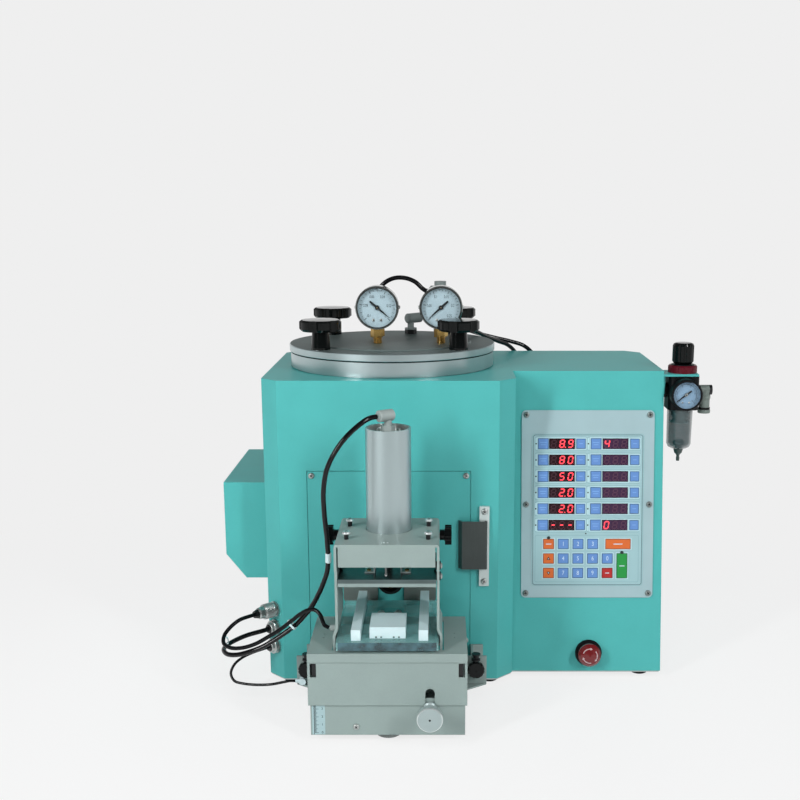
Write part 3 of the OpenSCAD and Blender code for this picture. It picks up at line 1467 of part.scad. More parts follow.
module hose(p, r, sides) {
    first = unit(route_dir(p, 0));
    start = abs(first[2]) > 0.9 ? [1, 0, 0] : [0, 0, 1];
    ns = normals(p, 0, carry(start, first));
    pts = [for (i = [0:len(p) - 1]) let(t = unit(route_dir(p, i)), n = ns[i], b = cross(t, n))
        for (k = [0:sides - 1]) p[i] + r * (cos(k * 360 / sides) * n + sin(k * 360 / sides) * b)];
    last = (len(p) - 1) * sides;
    faces = concat([[for (k = [0:sides - 1]) k]],
        [[for (k = [sides - 1:-1:0]) last + k]],
        [for (i = [0:len(p) - 2], k = [0:sides - 1]) let(a = i * sides + k, b = i * sides + (k + 1) % sides)
            [b, a, a + sides]],
        [for (i = [0:len(p) - 2], k = [0:sides - 1]) let(a = i * sides + k, b = i * sides + (k + 1) % sides)
            [b, a + sides, b + sides]]);
    polyhedron(pts, faces);
}

module clamp_hoses() {
    color("black") {
        hose(AIR_HOSE, hose_d / 2, 8);
        hose(SENSOR_CABLE, cable_d / 2, 8);
        hose(THIN_CABLE, thin_d / 2, 8);
    }
}

module lid_hoses() {
    color("black") {
        hose(LID_HOSE_HIGH, hose_d / 2, 8);
        hose(LID_HOSE_LOW, hose_d / 2, 8);
        hose(LINK_HOSE, hose_d / 2, 8);
    }
}

in_machine() main_housing();
in_machine() console_housing();
in_machine() side_housing();
in_machine() base_plate();
in_machine() rear_cover();
in_machine() feet();
in_machine() front_cover();
in_machine() cover_screws();
in_machine() wax_pot();
in_machine() pot_gasket();
in_machine() nozzle_guard();
in_machine() front_plates();
in_machine() shield_plate();
in_machine() control_panel();
in_machine() keypad();
in_machine() estop_collar();
in_machine() regulator_bracket();
in_machine() regulator_body();
in_machine() filter_bowl();
in_machine() regulator_gauge();
in_machine() air_fittings();
in_machine() panel_sockets();
in_machine() clamp_brackets();
in_machine() clamp_box();
in_machine() clamp_hoses();
in_machine() cable_plugs();
in_machine() lid();
in_machine() gauge_cases();
in_machine() gauge_glasses();
in_machine() gauge_fittings();
in_machine() lid_elbows();
in_machine() lid_hoses();
in_machine() vacuum_pointer();
in_machine() pressure_pointer();
in_machine() lid_knob_1();
in_machine() lid_knob_2();
in_machine() lid_knob_3();
in_machine() lid_knob_4();
in_machine() regulator_pointer();
in_machine() regulator_knob();
in_machine() filter_drain();
in_machine() estop_button();
in_machine() nozzle();
in_machine() bracket_knob_left();
in_machine() bracket_knob_right();
in_machine() lock_knob();
in_machine() height_wheel();
in_machine() sliding_cover();
in_machine() guide_rods();
in_machine() clamp_frame();
in_machine() carriage();
in_machine() cylinder_body();  // cylinder
in_machine() cylinder_elbow();
in_machine() frame_screws();
in_machine() platform();
in_machine() mould_guides();
in_machine() star_knob_left();
in_machine() star_knob_right();
in_machine() press_plate();
in_machine() piston_rod();
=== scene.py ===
"""Looks of a bench vacuum wax injector: finishes, printed faces, hoses and a plain studio.

Lengths in this file are millimetres in the machine frame, X right from the cabinet's
middle, Y back from its front face and Z up from the floor, and are turned into the
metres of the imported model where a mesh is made. Only the studio is laid out in metres.
"""

from __future__ import annotations

import logging
import math
from dataclasses import dataclass, field
from enum import Enum, IntEnum
from functools import reduce
from operator import mul
from typing import Any, Callable, Iterable, Mapping, Sequence

import bpy
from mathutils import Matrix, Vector

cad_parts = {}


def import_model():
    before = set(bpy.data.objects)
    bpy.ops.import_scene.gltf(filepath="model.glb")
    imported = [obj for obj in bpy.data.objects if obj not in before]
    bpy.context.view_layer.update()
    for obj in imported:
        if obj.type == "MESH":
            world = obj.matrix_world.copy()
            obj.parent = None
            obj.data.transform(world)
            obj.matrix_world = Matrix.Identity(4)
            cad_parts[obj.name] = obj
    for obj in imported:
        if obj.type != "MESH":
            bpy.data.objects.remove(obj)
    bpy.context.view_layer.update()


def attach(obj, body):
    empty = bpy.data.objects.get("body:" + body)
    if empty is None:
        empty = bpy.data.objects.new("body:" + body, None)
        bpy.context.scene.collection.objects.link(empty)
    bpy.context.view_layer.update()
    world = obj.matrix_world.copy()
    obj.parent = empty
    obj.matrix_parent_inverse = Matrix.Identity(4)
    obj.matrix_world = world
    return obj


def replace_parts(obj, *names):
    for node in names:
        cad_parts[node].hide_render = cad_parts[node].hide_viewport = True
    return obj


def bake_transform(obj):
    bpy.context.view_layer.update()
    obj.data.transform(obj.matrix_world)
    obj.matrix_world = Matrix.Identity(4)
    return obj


LOG = logging.getLogger("wax_injector")

Colour = tuple[float, float, float]
Point = tuple[float, float, float]
Flat = tuple[float, float]
Outline = Sequence[Flat]
Settings = Mapping[str, Any]
Sockets = Mapping[Any, Any]

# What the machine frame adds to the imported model's X, Y and Z
FRAME_SHIFT = (103.0, 59.0, 0.0)
# The foot of the console's front, as Y and Z, and how far the front leans back
CONSOLE_FOOT = (26.0, 12.0)
SLANT = math.atan(59.0 / 394.0)
# A spot on the cabinet's left bevel, as X and Y, and the parts of its outward direction
BEVEL_SPOT = (-149.5, 10.5)
HALF_ROOT = math.sqrt(0.5)
# Upright axes, as X and Y
POT_AXIS = (0.0, 152.0)
CYLINDER_AXIS = (3.5, -84.5)

PAPER_WHITE = (0.863, 0.863, 0.863)
SKY_TINT = (0.92, 0.97, 1.0)
COAT_ROUGHNESS = 0.08
# The angle between two faces, in degrees, from which their edge stays sharp
SHARP_FROM = 40.0


class Axis(IntEnum):
    """The machine's three directions: right, back and up."""

    X = 0
    Y = 1
    Z = 2


X, Y, Z = Axis


def model_point(x: float, y: float, z: float) -> Vector:
    """Turns a machine point in millimetres into a model point in metres."""
    return Vector(((x - FRAME_SHIFT[0]) / 1000, (y - FRAME_SHIFT[1]) / 1000, z / 1000))


# Shader expressions


class Value:
    """A number that a shader node gives, used in ordinary Python arithmetic."""

    def __init__(self, shader: Shader, socket: bpy.types.NodeSocket) -> None:
        """Keeps the socket and the shader that it belongs to."""
        self.shader = shader
        self.socket = socket

    def math(self, operation: str, *others: Any) -> Value:
        """Adds a Math node.

        Args:
            operation: The node's operation.
            others: The inputs, this value among them.

        Returns:
            The node's result.
        """
        inputs = dict(enumerate(others))
        return self.shader.value("ShaderNodeMath", {"operation": operation}, inputs)

    def __add__(self, other: Any) -> Value:
        """Adds a number or value."""
        return self.math("ADD", self, other)

    def __radd__(self, other: Any) -> Value:
        """Adds this value to a number."""
        return self.math("ADD", other, self)

    def __sub__(self, other: Any) -> Value:
        """Takes a number or value away."""
        return self.math("SUBTRACT", self, other)

    def __rsub__(self, other: Any) -> Value:
        """Takes this value away from a number."""
        return self.math("SUBTRACT", other, self)

    def __mul__(self, other: Any) -> Value:
        """Multiplies by a number or value."""
        return self.math("MULTIPLY", self, other)

    def __rmul__(self, other: Any) -> Value:
        """Multiplies a number by this value."""
        return self.math("MULTIPLY", other, self)

    def __pow__(self, other: Any) -> Value:
        """Raises to a power."""
        return self.math("POWER", self, other)

    def __gt__(self, other: Any) -> Value:
        """Gives 1 where this is above the other, and 0 elsewhere."""
        return self.math("GREATER_THAN", self, other)

    def __lt__(self, other: Any) -> Value:
        """Gives 1 where this is below the other, and 0 elsewhere."""
        return self.math("LESS_THAN", self, other)

    def larger(self, other: Any) -> Value:
        """Takes the larger of two."""
        return self.math("MAXIMUM", self, other)

    def ramp(self, low: float, high: float) -> Value:
        """Rises smoothly from 0 at low to 1 at high.

        Args:
            low: Where it begins to rise.
            high: Where it reaches 1.

        Returns:
            The smooth step.
        """
        return self.shader.value(
            "ShaderNodeMapRange",
            {"interpolation_type": "SMOOTHSTEP"},
            {0: self, 1: low, 2: high, 3: 0.0, 4: 1.0},
        )


class Shader:
    """One node material, or the world, with its Principled shader."""

    def __init__(self, name: str, owner: Any = None) -> None:
        """Starts an empty tree.

        Args:
            name: The material's name.
            owner: A world to use in place of a new material.
        """
        self.owner = owner or bpy.data.materials.new(name)
        self.owner.use_nodes = True
        self.tree = self.owner.node_tree
        self.tree.nodes.clear()
        self._axes: tuple[Value, Value, Value] | None = None
        self._place: bpy.types.NodeSocket | None = None

    def node(
        self, kind: str, settings: Settings | None = None, sockets: Sockets | None = None
    ) -> bpy.types.Node:
        """Adds a node of any kind.

        Args:
            kind: The node's type.
            settings: Its properties, set first.
            sockets: Values or links for its inputs, by number or name.

        Returns:
            The new node.
        """
        made = self.tree.nodes.new(kind)
        for name, setting in (settings or {}).items():
            setattr(made, name, setting)
        for key, given in (sockets or {}).items():
            if isinstance(given, Value):
                self.tree.links.new(given.socket, made.inputs[key])
            elif isinstance(given, bpy.types.NodeSocket):
                self.tree.links.new(given, made.inputs[key])
            elif isinstance(given, tuple) and len(given) == 3 and made.inputs[key].type == "RGBA":
                made.inputs[key].default_value = (*given, 1.0)
            else:
                made.inputs[key].default_value = given
        return made

    def value(self, kind: str, settings: Settings | None = None, sockets: Sockets | None = None) -> Value:
        """Adds a node and gives its first output as a value."""
        return Value(self, self.node(kind, settings, sockets).outputs[0])

    def place(self) -> bpy.types.NodeSocket:
        """Gives the surface point in machine millimetres, which moves with its piece.

        Returns:
            The point's vector.
        """
        if self._place is None:
            local = self.node("ShaderNodeTexCoord").outputs["Object"]
            kind = "ShaderNodeVectorMath"
            scaled = self.node(kind, {"operation": "SCALE"}, {0: local, "Scale": 1000.0})
            moved = self.node(kind, {"operation": "ADD"}, {0: scaled.outputs[0], 1: FRAME_SHIFT})
            self._place = moved.outputs[0]
        return self._place

    def axes(self) -> tuple[Value, Value, Value]:
        """Gives the point's three coordinates as values.

        Returns:
            Its X, Y and Z in millimetres.
        """
        if self._axes is None:
            parts = self.node("ShaderNodeSeparateXYZ", None, {0: self.place()})
            self._axes = tuple(Value(self, parts.outputs[i]) for i in range(3))
        return self._axes

    def radius(self, a: float, b: float, axis: Axis = Z) -> Value:
        """Gives the distance from a line along one axis.

        Args:
            a: The line's place on the first of the two other axes.
            b: Its place on the second.
            axis: The line's direction.

        Returns:
            The distance in millimetres.
        """
        across = [v for i, v in enumerate(self.axes()) if i != axis]
        return ((across[0] - a) ** 2.0 + (across[1] - b) ** 2.0) ** 0.5

    def noise(self, size: float, stretch: Point = (1, 1, 1), detail: float = 2.0) -> Value:
        """Gives soft noise.

        Args:
            size: The size of its spots, in millimetres.
            stretch: How much longer they are along each axis.
            detail: The number of finer layers.

        Returns:
            A value round one half.
        """
        factors = tuple(1.0 / (size * s) for s in stretch)
        point = self.node("ShaderNodeVectorMath", {"operation": "MULTIPLY"}, {0: self.place(), 1: factors})
        sockets = {"Vector": point.outputs[0], "Scale": 1.0, "Detail": detail}
        return self.value("ShaderNodeTexNoise", None, sockets)

    def mix(self, factor: Any, first: Any, second: Any) -> bpy.types.NodeSocket:
        """Mixes two colours."""
        made = self.node("ShaderNodeMix", {"data_type": "RGBA"}, {0: factor, 6: first, 7: second})
        return made.outputs[2]

    def light(self, kind: str, colour: Colour, strength: float) -> bpy.types.NodeSocket:
        """Gives a background or a glow of one colour."""
        return self.node(kind, None, {0: colour, 1: strength}).outputs[0]

    def blend(self, factor: Any, first: Any, second: Any) -> bpy.types.NodeSocket:
        """Blends two surfaces or lights."""
        return self.node("ShaderNodeMixShader", None, {0: factor, 1: first, 2: second}).outputs[0]

    def rays(self) -> tuple[Value, Value, Value]:
        """Gives 1 for the camera's rays, for those in gloss and for those through clear pieces.

        Returns:
            One value for each kind of ray.
        """
        path = self.node("ShaderNodeLightPath")
        kinds = ("Is Camera Ray", "Is Glossy Ray", "Is Transmission Ray")
        return tuple(Value(self, path.outputs[kind]) for kind in kinds)

    def finish(self, surface: bpy.types.NodeSocket) -> Any:
        """Joins the surface to the output and gives the material.

        Args:
            surface: The surface, or the world's background.

        Returns:
            The material or the world.
        """
        target = "World" if isinstance(self.owner, bpy.types.World) else "Material"
        self.node(f"ShaderNodeOutput{target}", None, {0: surface})
        return self.owner


class Grain(Enum):
    """The relief and streaks that a surface was left with."""

    SMOOTH = "smooth"
    ORANGE_PEEL = "orange peel"
    MOULDED = "moulded"
    BRUSHED_X = "brushed along X"
    BRUSHED_Y = "brushed along Y"
    BRUSHED_Z = "brushed along Z"
    TURNED = "turned about the pot's axis"


# How much longer a brushed grain's streaks are along each axis
BRUSHING = {Grain.BRUSHED_X: (60, 1, 1), Grain.BRUSHED_Y: (1, 60, 1), Grain.BRUSHED_Z: (1, 1, 60)}


@dataclass(frozen=True)
class Finish:
    """What one surface is made of and how it was finished.

    Attributes:
        name: The material's name.
        colour: Its colour, in linear light.
        roughness: How dull it is.
        metallic: How far it is bare metal.
        coat: How far it has a clear gloss over it.
        alpha: How far it hides what is behind it.
        glow: The strength of its own light.
        grain: What its surface was left with.
        relief: The grain's height in millimetres.
        mottle: The share by which its colour varies.
        shine: How strongly it mirrors when seen head on.
    """

    name: str
    colour: Colour
    roughness: float = 0.5
    metallic: float = 0.0
    coat: float = 0.0
    alpha: float = 1.0
    glow: float = 0.0
    grain: Grain = Grain.MOULDED
    relief: float = 0.004
    mottle: float = 0.06
    shine: float = 0.5

    def streaks(self, shader: Shader) -> tuple[Any, float]:
        """Gives the grain's pattern and the strength of its relief.

        Args:
            shader: The material being made.

        Returns:
            A value round one half, and the strength.
        """
        if self.grain in BRUSHING:
            return shader.noise(0.35, BRUSHING[self.grain]), 1.0
        if self.grain is Grain.ORANGE_PEEL:
            return shader.noise(1.6) * 0.7 + shader.noise(5.0) * 0.3, 1.0
        if self.grain is Grain.TURNED:
            rings = {"W": shader.radius(*POT_AXIS) * 2.4, "Scale": 1.0, "Detail": 2.0}
            return shader.value("ShaderNodeTexNoise", {"noise_dimensions": "1D"}, rings), 1.0
        if self.grain is Grain.SMOOTH:
            return shader.noise(9.0), 0.25
        return shader.noise(0.6), 1.0

    def parts(self, shader: Shader) -> dict[str, Any]:
        """Works out what varies over the surface.

        Args:
            shader: The material being made.

        Returns:
            Colour, roughness, metallic, coat, alpha and height in millimetres.
        """
        pattern, strength = self.streaks(shader)
        cloud = shader.noise(38.0, detail=3.0)
        dark = tuple(c * (1 - self.mottle) for c in self.colour)
        light = tuple(min(1.0, c * (1 + self.mottle)) for c in self.colour)
        tone = cloud * 0.6 + pattern * 0.4
        return {
            "colour": shader.mix(tone.ramp(0.32, 0.68), dark, light),
            "roughness": self.roughness * (0.88 + pattern * 0.14 + cloud * 0.1),
            "metallic": self.metallic,
            "coat": self.coat,
            "alpha": self.alpha,
            "height": pattern * (self.relief * strength),
        }


Mask = Callable[[Shader], Value]


@dataclass(frozen=True)
class Layer:
    """A finish on part of a piece, where its mask is 1."""

    finish: Finish
    mask: Mask


def past(axis: Axis, edge: float) -> Mask:
    """Covers what lies beyond a plane across an axis."""
    return lambda shader: shader.axes()[axis] > edge


def short_of(axis: Axis, edge: float) -> Mask:
    """Covers what lies before a plane across an axis."""
    return lambda shader: shader.axes()[axis] < edge


def near_line(a: float, b: float, r: float, axis: Axis = Z) -> Mask:
    """Covers what lies within a distance of a line along an axis."""
    return lambda shader: shader.radius(a, b, axis) < r


def far_from_line(a: float, b: float, r: float, axis: Axis = Z) -> Mask:
    """Covers what lies further than a distance from a line along an axis."""
    return lambda shader: shader.radius(a, b, axis) > r


def beyond_bevel(edge: float) -> Mask:
    """Covers what stands further than a distance from the cabinet's left bevel."""
    x, y = BEVEL_SPOT
    return lambda shader: ((shader.axes()[X] - x) + (shader.axes()[Y] - y)) * -HALF_ROOT > edge


def all_of(*masks: Mask) -> Mask:
    """Covers where every mask does."""
    return lambda shader: reduce(mul, (mask(shader) for mask in masks))


def any_of(*masks: Mask) -> Mask:
    """Covers where at least one mask does."""
    return lambda shader: reduce(Value.larger, (mask(shader) for mask in masks))


@dataclass
class Paintbox:
    """Makes every material once and puts them on pieces."""

    made: dict[str, Any] = field(default_factory=dict)

    def material(self, base: Finish, layers: Sequence[Layer] = (), name: str = "", edge: float = 0.0) -> Any:
        """Makes a material from a finish and the layers over it.

        Args:
            base: The finish of the whole piece.
            layers: Finishes of parts of it.
            name: The material's name, where it isn't the finish's own.
            edge: Radius of the softened edges, in millimetres.

        Returns:
            The Blender material.
        """
        label = name or base.name
        if label in self.made:
            return self.made[label]
        shader = Shader(label)
        parts = base.parts(shader)
        for layer in layers:
            parts = self._over(shader, parts, layer)
        bump = {"Height": parts["height"], "Strength": 1.0, "Distance": 0.001}
        if edge:
            bevel = shader.node("ShaderNodeBevel", {"samples": 4}, {"Radius": edge / 1000})
            bump["Normal"] = bevel.outputs[0]
        sockets = {
            "Base Color": parts["colour"],
            "Roughness": parts["roughness"],
            "Metallic": parts["metallic"],
            "Coat Weight": parts["coat"],
            "Alpha": parts["alpha"],
            "Normal": shader.node("ShaderNodeBump", None, bump).outputs[0],
        }
        if base.glow:
            sockets |= {"Emission Color": base.colour, "Emission Strength": base.glow}
        surface = shader.node("ShaderNodeBsdfPrincipled", None, sockets)
        surface.inputs["Coat Roughness"].default_value = COAT_ROUGHNESS
        surface.inputs["Specular IOR Level"].default_value = base.shine
        self.made[label] = shader.finish(surface.outputs[0])
        return self.made[label]

    @staticmethod
    def _over(shader: Shader, parts: dict[str, Any], layer: Layer) -> dict[str, Any]:
        """Lays one layer over what is there already.

        Args:
            shader: The material being made.
            parts: The parts of what lies below.
            layer: The layer.

        Returns:
            The parts of both, mixed by the layer's mask.
        """
        mask = layer.mask(shader)
        upper = layer.finish.parts(shader)
        mixed: dict[str, Any] = {"colour": shader.mix(mask, parts["colour"], upper["colour"])}
        for key in ("roughness", "metallic", "coat", "alpha", "height"):
            low, high = parts[key], upper[key]
            same = not isinstance(low, Value) and not isinstance(high, Value) and low == high
            mixed[key] = low if same else mask * high + (1.0 - mask) * low
        return mixed

    def dress(self, node: str, base: Finish, layers: Sequence[Layer] = (), edge: float = 0.0) -> None:
        """Gives a CAD node its material.

        Args:
            node: The node's name.
            base: Its finish.
            layers: Finishes of parts of it.
            edge: Radius of its softened edges, in millimetres.
        """
        label = f"{base.name}_{node}" if layers else base.name + (f"_edge{edge:g}" if edge else "")
        made = self.material(base, layers, label, edge)
        target = bpy.data.objects[node]
        if not target.data.materials:
            target.data.materials.append(made)
        for slot in target.material_slots:
            slot.material = made


# Finishes

# Paint and metal
TURQUOISE = Finish(
    "turquoise_powder_coat", (0.074, 0.410, 0.396), 0.44, coat=0.05, grain=Grain.ORANGE_PEEL,
    relief=0.012, mottle=0.03, shine=0.22,
)
LIGHT_COAT = Finish(
    "light_powder_coat", (0.265, 0.335, 0.320), 0.48, grain=Grain.ORANGE_PEEL, relief=0.010,
    mottle=0.03, shine=0.35,
)
LID_METAL = Finish(
    "turned_aluminium", (0.440, 0.530, 0.540), 0.30, metallic=0.9, grain=Grain.TURNED, relief=0.006,
    mottle=0.04,
)
# Darker copy of the lid's aluminium for its top face: painted shade for the dim room that the top mirrors
SHADED_LID_TOP = Finish(
    "blasted_aluminium", (0.150, 0.195, 0.192), 0.50, metallic=0.6, grain=Grain.TURNED, relief=0.004,
    mottle=0.05, shine=0.2,
)
SATIN_METAL = Finish(
    "satin_aluminium", (0.450, 0.540, 0.550), 0.36, metallic=0.85, grain=Grain.BRUSHED_Z,
    relief=0.0004, mottle=0.01,
)
KNOB_METAL = Finish(
    "anodised_knob", (0.370, 0.450, 0.450), 0.46, metallic=0.4, grain=Grain.MOULDED, relief=0.003
)
PANEL_METAL = Finish(
    "panel_aluminium", (0.390, 0.550, 0.585), 0.42, metallic=0.35, grain=Grain.BRUSHED_Y,
    relief=0.002, mottle=0.03,
)
ZINC = Finish("zinc_steel", (0.480, 0.510, 0.500), 0.32, metallic=0.9, relief=0.004)
SCREW_ZINC = Finish("dull_zinc_screw", (0.260, 0.290, 0.285), 0.34, metallic=0.7, relief=0.004)
PALE_METAL = Finish("bright_zinc", (0.680, 0.740, 0.740), 0.30, metallic=0.8, relief=0.003)
GREY_METAL = Finish("turned_grey_metal", (0.300, 0.340, 0.340), 0.38, metallic=0.8, relief=0.004)
# The press plate's top: polished steel given a near-black colour, a painted reflection of the dark parts
# above it
DARK_REFLECTION_STEEL = Finish(
    "polished_dark_steel", (0.050, 0.075, 0.075), 0.24, metallic=0.75, grain=Grain.BRUSHED_Y,
    relief=0.001,
)
SHIELD_STEEL = Finish(
    "brushed_shield_steel", (0.060, 0.072, 0.070), 0.34, metallic=0.6, grain=Grain.BRUSHED_Z,
    relief=0.002, mottle=0.10,
)
EDGE_STEEL = Finish(
    "plate_edge_steel", (0.110, 0.150, 0.150), 0.42, metallic=0.8, grain=Grain.BRUSHED_X,
    relief=0.006, mottle=0.2,
)
PLAIN_STEEL = Finish(
    "plain_steel", (0.560, 0.640, 0.630), 0.34, metallic=0.35, grain=Grain.BRUSHED_X, relief=0.002
)
# The height wheel: knurled chrome darkened by painted shade for the shade it sits in by the floor
SHADED_WHEEL_STEEL = Finish(
    "dark_wheel_steel", (0.160, 0.180, 0.175), 0.30, metallic=0.9, grain=Grain.BRUSHED_Z, relief=0.01,
    mottle=0.3,
)
GAUGE_STEEL = Finish(
    "polished_case_steel", (0.340, 0.370, 0.360), 0.16, metallic=1.0, grain=Grain.SMOOTH,
    relief=0.002,
)
RULE_FACE = Finish("rule_steel", (0.330, 0.470, 0.490), 0.40, grain=Grain.BRUSHED_X, relief=0.001)
# The nozzle plate: grey paint darkened by painted shade for where it stands behind the platform
SHADED_NOZZLE_PLATE = Finish(
    "bead_blasted_plate", (0.200, 0.240, 0.225), 0.5, metallic=0.5, grain=Grain.BRUSHED_X,
    relief=0.004,
)
CHROME = Finish(
    "ground_chrome", (0.620, 0.650, 0.650), 0.14, metallic=1.0, grain=Grain.SMOOTH, relief=0.001
)
BRASS = Finish("brass", (0.560, 0.370, 0.120), 0.26, metallic=1.0, relief=0.003, mottle=0.1)
BRONZE = Finish("bronze_hub", (0.230, 0.150, 0.060), 0.35, metallic=0.9, relief=0.002)

# Rubber and plastic
BLACK_GLOSS = Finish(
    "glossy_black_plastic", (0.002, 0.003, 0.003), 0.09, grain=Grain.SMOOTH, relief=0.01, shine=0.22
)
BLACK_MATTE = Finish("matt_black_plastic", (0.004, 0.005, 0.006), 0.38, relief=0.008, shine=0.15)
COLLAR_BLACK = Finish("collar_plastic", (0.005, 0.006, 0.007), 0.36, relief=0.003, shine=0.2)
RUBBER = Finish("black_rubber", (0.007, 0.008, 0.009), 0.60, relief=0.01, shine=0.2)
# Dark gasket of the pot, also laid inside the gauge cases as painted shade
GASKET_AND_SHADE = Finish("dark_gasket", (0.012, 0.016, 0.016), 0.7, relief=0.01, shine=0.2)
HOSE = Finish("black_hose", (0.002, 0.002, 0.003), 0.12, grain=Grain.SMOOTH, relief=0.02, shine=0.35)
CABLE = Finish("black_cable", (0.003, 0.004, 0.005), 0.26, relief=0.004, shine=0.2)
GREY_PLASTIC = Finish("grey_fitting_plastic", (0.310, 0.360, 0.350), 0.40, relief=0.003)
LID_FITTING = Finish("worn_fitting_plastic", (0.170, 0.200, 0.195), 0.42, relief=0.005)
REGULATOR_FITTING = Finish("olive_fitting_plastic", (0.170, 0.210, 0.190), 0.38, relief=0.003)
WHITE_PLASTIC = Finish("white_plastic", (0.610, 0.750, 0.775), 0.38, coat=0.2, relief=0.003, mottle=0.03)
DRAIN = Finish("drain_plastic", (0.055, 0.080, 0.075), 0.30, metallic=0.3, relief=0.003)
BOWL_BAFFLE = Finish("filter_element_plastic", (0.600, 0.700, 0.700), 0.5, relief=0.004)
PAD_GREY = Finish("silicone_pad", (0.230, 0.300, 0.290), 0.5, relief=0.006)
RED_PLASTIC = Finish(
    "red_plastic", (0.150, 0.007, 0.009), 0.14, coat=0.4, grain=Grain.SMOOTH, relief=0.004, shine=0.4
)
RED_NUT = Finish("red_nut", (0.090, 0.003, 0.010), 0.34, coat=0.1, relief=0.004, shine=0.3)
FILM = Finish("panel_film", (0.310, 0.490, 0.520), 0.36, relief=0.002, mottle=0.02)

# Clear pieces
ACRYLIC = Finish(
    "clear_acrylic", (0.420, 0.860, 0.850), 0.05, coat=0.8, alpha=0.36, grain=Grain.SMOOTH,
    relief=0.002,
)
# The platform's edges: painted shade with mottled painted reflection, for the light bent inside the clear
# plate
ACRYLIC_EDGE_SHADE = Finish(
    "sawn_acrylic_edge", (0.034, 0.090, 0.108), 0.10, coat=0.4, alpha=0.92, grain=Grain.SMOOTH,
    relief=0.003, mottle=0.6,
)
GLASS = Finish("gauge_glass", (0.30, 0.36, 0.38), 0.03, alpha=0.04, grain=Grain.SMOOTH, relief=0.001)
SMOKE = Finish(
    "smoke_bowl", (0.040, 0.078, 0.085), 0.05, alpha=0.50, coat=0.8, grain=Grain.SMOOTH, relief=0.004
)

# Dials, print and lamps
DIAL_WHITE = Finish("dial_enamel", (0.420, 0.560, 0.620), 0.5, relief=0.001, mottle=0.02)
DIAL_BLUE = Finish("bluish_dial", (0.230, 0.370, 0.520), 0.5, relief=0.001, mottle=0.02)
INK = Finish("black_ink", (0.008, 0.009, 0.010), 0.5, relief=0.0005, shine=0.1)
ARROW_WHITE = Finish("arrow_print", (0.480, 0.360, 0.370), 0.4, grain=Grain.SMOOTH)
FILM_LINE = Finish("film_outline", (0.110, 0.190, 0.210), 0.45, relief=0.0005)
FILM_FAINT = Finish("film_inner_outline", (0.190, 0.330, 0.360), 0.45, relief=0.0005)
FILM_PALE = Finish("pale_film_frame", (0.440, 0.640, 0.680), 0.42, relief=0.0005)
LAMP = Finish("dark_lamp", (0.010, 0.022, 0.022), 0.3, coat=0.3, relief=0.001)

# Displays
LED_DARK = Finish("display_window", (0.020, 0.003, 0.007), 0.25, coat=0.2, relief=0.0005)
LED_VIOLET = Finish("pale_display_window", (0.047, 0.020, 0.054), 0.25, coat=0.2, relief=0.0005)
LED_DIM = Finish("unlit_segment", (0.034, 0.006, 0.014), 0.4, relief=0.0005)
LED_SHADE = Finish("shaded_segment", (0.066, 0.015, 0.045), 0.4, relief=0.0005)
LED_LIT = Finish("lit_segment", (0.95, 0.050, 0.070), 0.4, glow=0.95, relief=0.0005)

# Keys, their signs and their edges
KEY_BLUE = Finish("blue_key", (0.115, 0.250, 0.560), 0.36, relief=0.002, mottle=0.03)
KEY_ORANGE = Finish("orange_key", (0.640, 0.130, 0.022), 0.36, relief=0.002, mottle=0.03)
KEY_RED = Finish("red_key", (0.420, 0.016, 0.016), 0.36, relief=0.002, mottle=0.03)
KEY_GREEN = Finish("green_key", (0.012, 0.270, 0.045), 0.36, relief=0.002, mottle=0.03)
KEY_BAR = Finish("key_bar_ink", (0.200, 0.390, 0.700), 0.45, relief=0.0005)
KEY_MARK = Finish("key_mark_ink", (0.560, 0.700, 0.800), 0.45, relief=0.0005)
KEY_SHADES = {
    KEY_BLUE: Finish("blue_key_edge", (0.040, 0.110, 0.200), 0.5, relief=0.0005),
    KEY_ORANGE: Finish("orange_key_edge", (0.240, 0.060, 0.018), 0.5, relief=0.0005),
    KEY_RED: Finish("red_key_edge", (0.120, 0.012, 0.012), 0.5, relief=0.0005),
    KEY_GREEN: Finish("green_key_edge", (0.010, 0.100, 0.040), 0.5, relief=0.0005),
}

# The studio's floor
FLOOR_PAPER = Finish("pale_floor", PAPER_WHITE)


# Mesh tools


@dataclass(frozen=True)
class Plane:
    """A flat working frame on the machine: an origin and two directions in millimetres."""

    origin: Point
    u: Point
    v: Point

    def _spot(self, a: float, b: float, c: float) -> Vector:
        """Gives the machine point at a along u, b along v and c out of the plane."""
        u, v = Vector(self.u), Vector(self.v)
        return Vector(self.origin) + a * u + b * v + c * u.cross(v)

    def at(self, a: float, b: float, c: float = 0.0) -> Vector:
        """Gives the model point at a along u, b along v and c out of the plane."""
        return model_point(*self._spot(a, b, c))

    def shifted(self, a: float, b: float, c: float = 0.0) -> Plane:
        """Gives the same plane from the origin at a, b and c."""
        return Plane(tuple(self._spot(a, b, c)), self.u, self.v)


def facing_front(x: float, y: float, z: float) -> Plane:
    """Gives an upright plane that faces the front."""
    return Plane((x, y, z), (1, 0, 0), (0, 0, 1))


def facing_up(x: float, y: float, z: float) -> Plane:
    """Gives a level plane."""
    return Plane((x, y, z), (1, 0, 0), (0, 1, 0))


def on_console(x: float, s: float) -> Plane:
    """Gives the console's slanted front at x and s up the slope.

    Args:
        x: The origin's place across the machine.
        s: Its distance up the slope.

    Returns:
        The tilted plane.
    """
    back, up = math.sin(SLANT), math.cos(SLANT)
    y, z = CONSOLE_FOOT
    return Plane((x, y + s * back, z + s * up), (1, 0, 0), (0, back, up))


def arc_points(cx: float, cy: float, r: float, start: float, stop: float, steps: int) -> list[Flat]:
    """Gives points on an arc, angles in degrees."""
    angles = [math.radians(start + (stop - start) * i / steps) for i in range(steps + 1)]
    return [(cx + r * math.cos(a), cy + r * math.sin(a)) for a in angles]


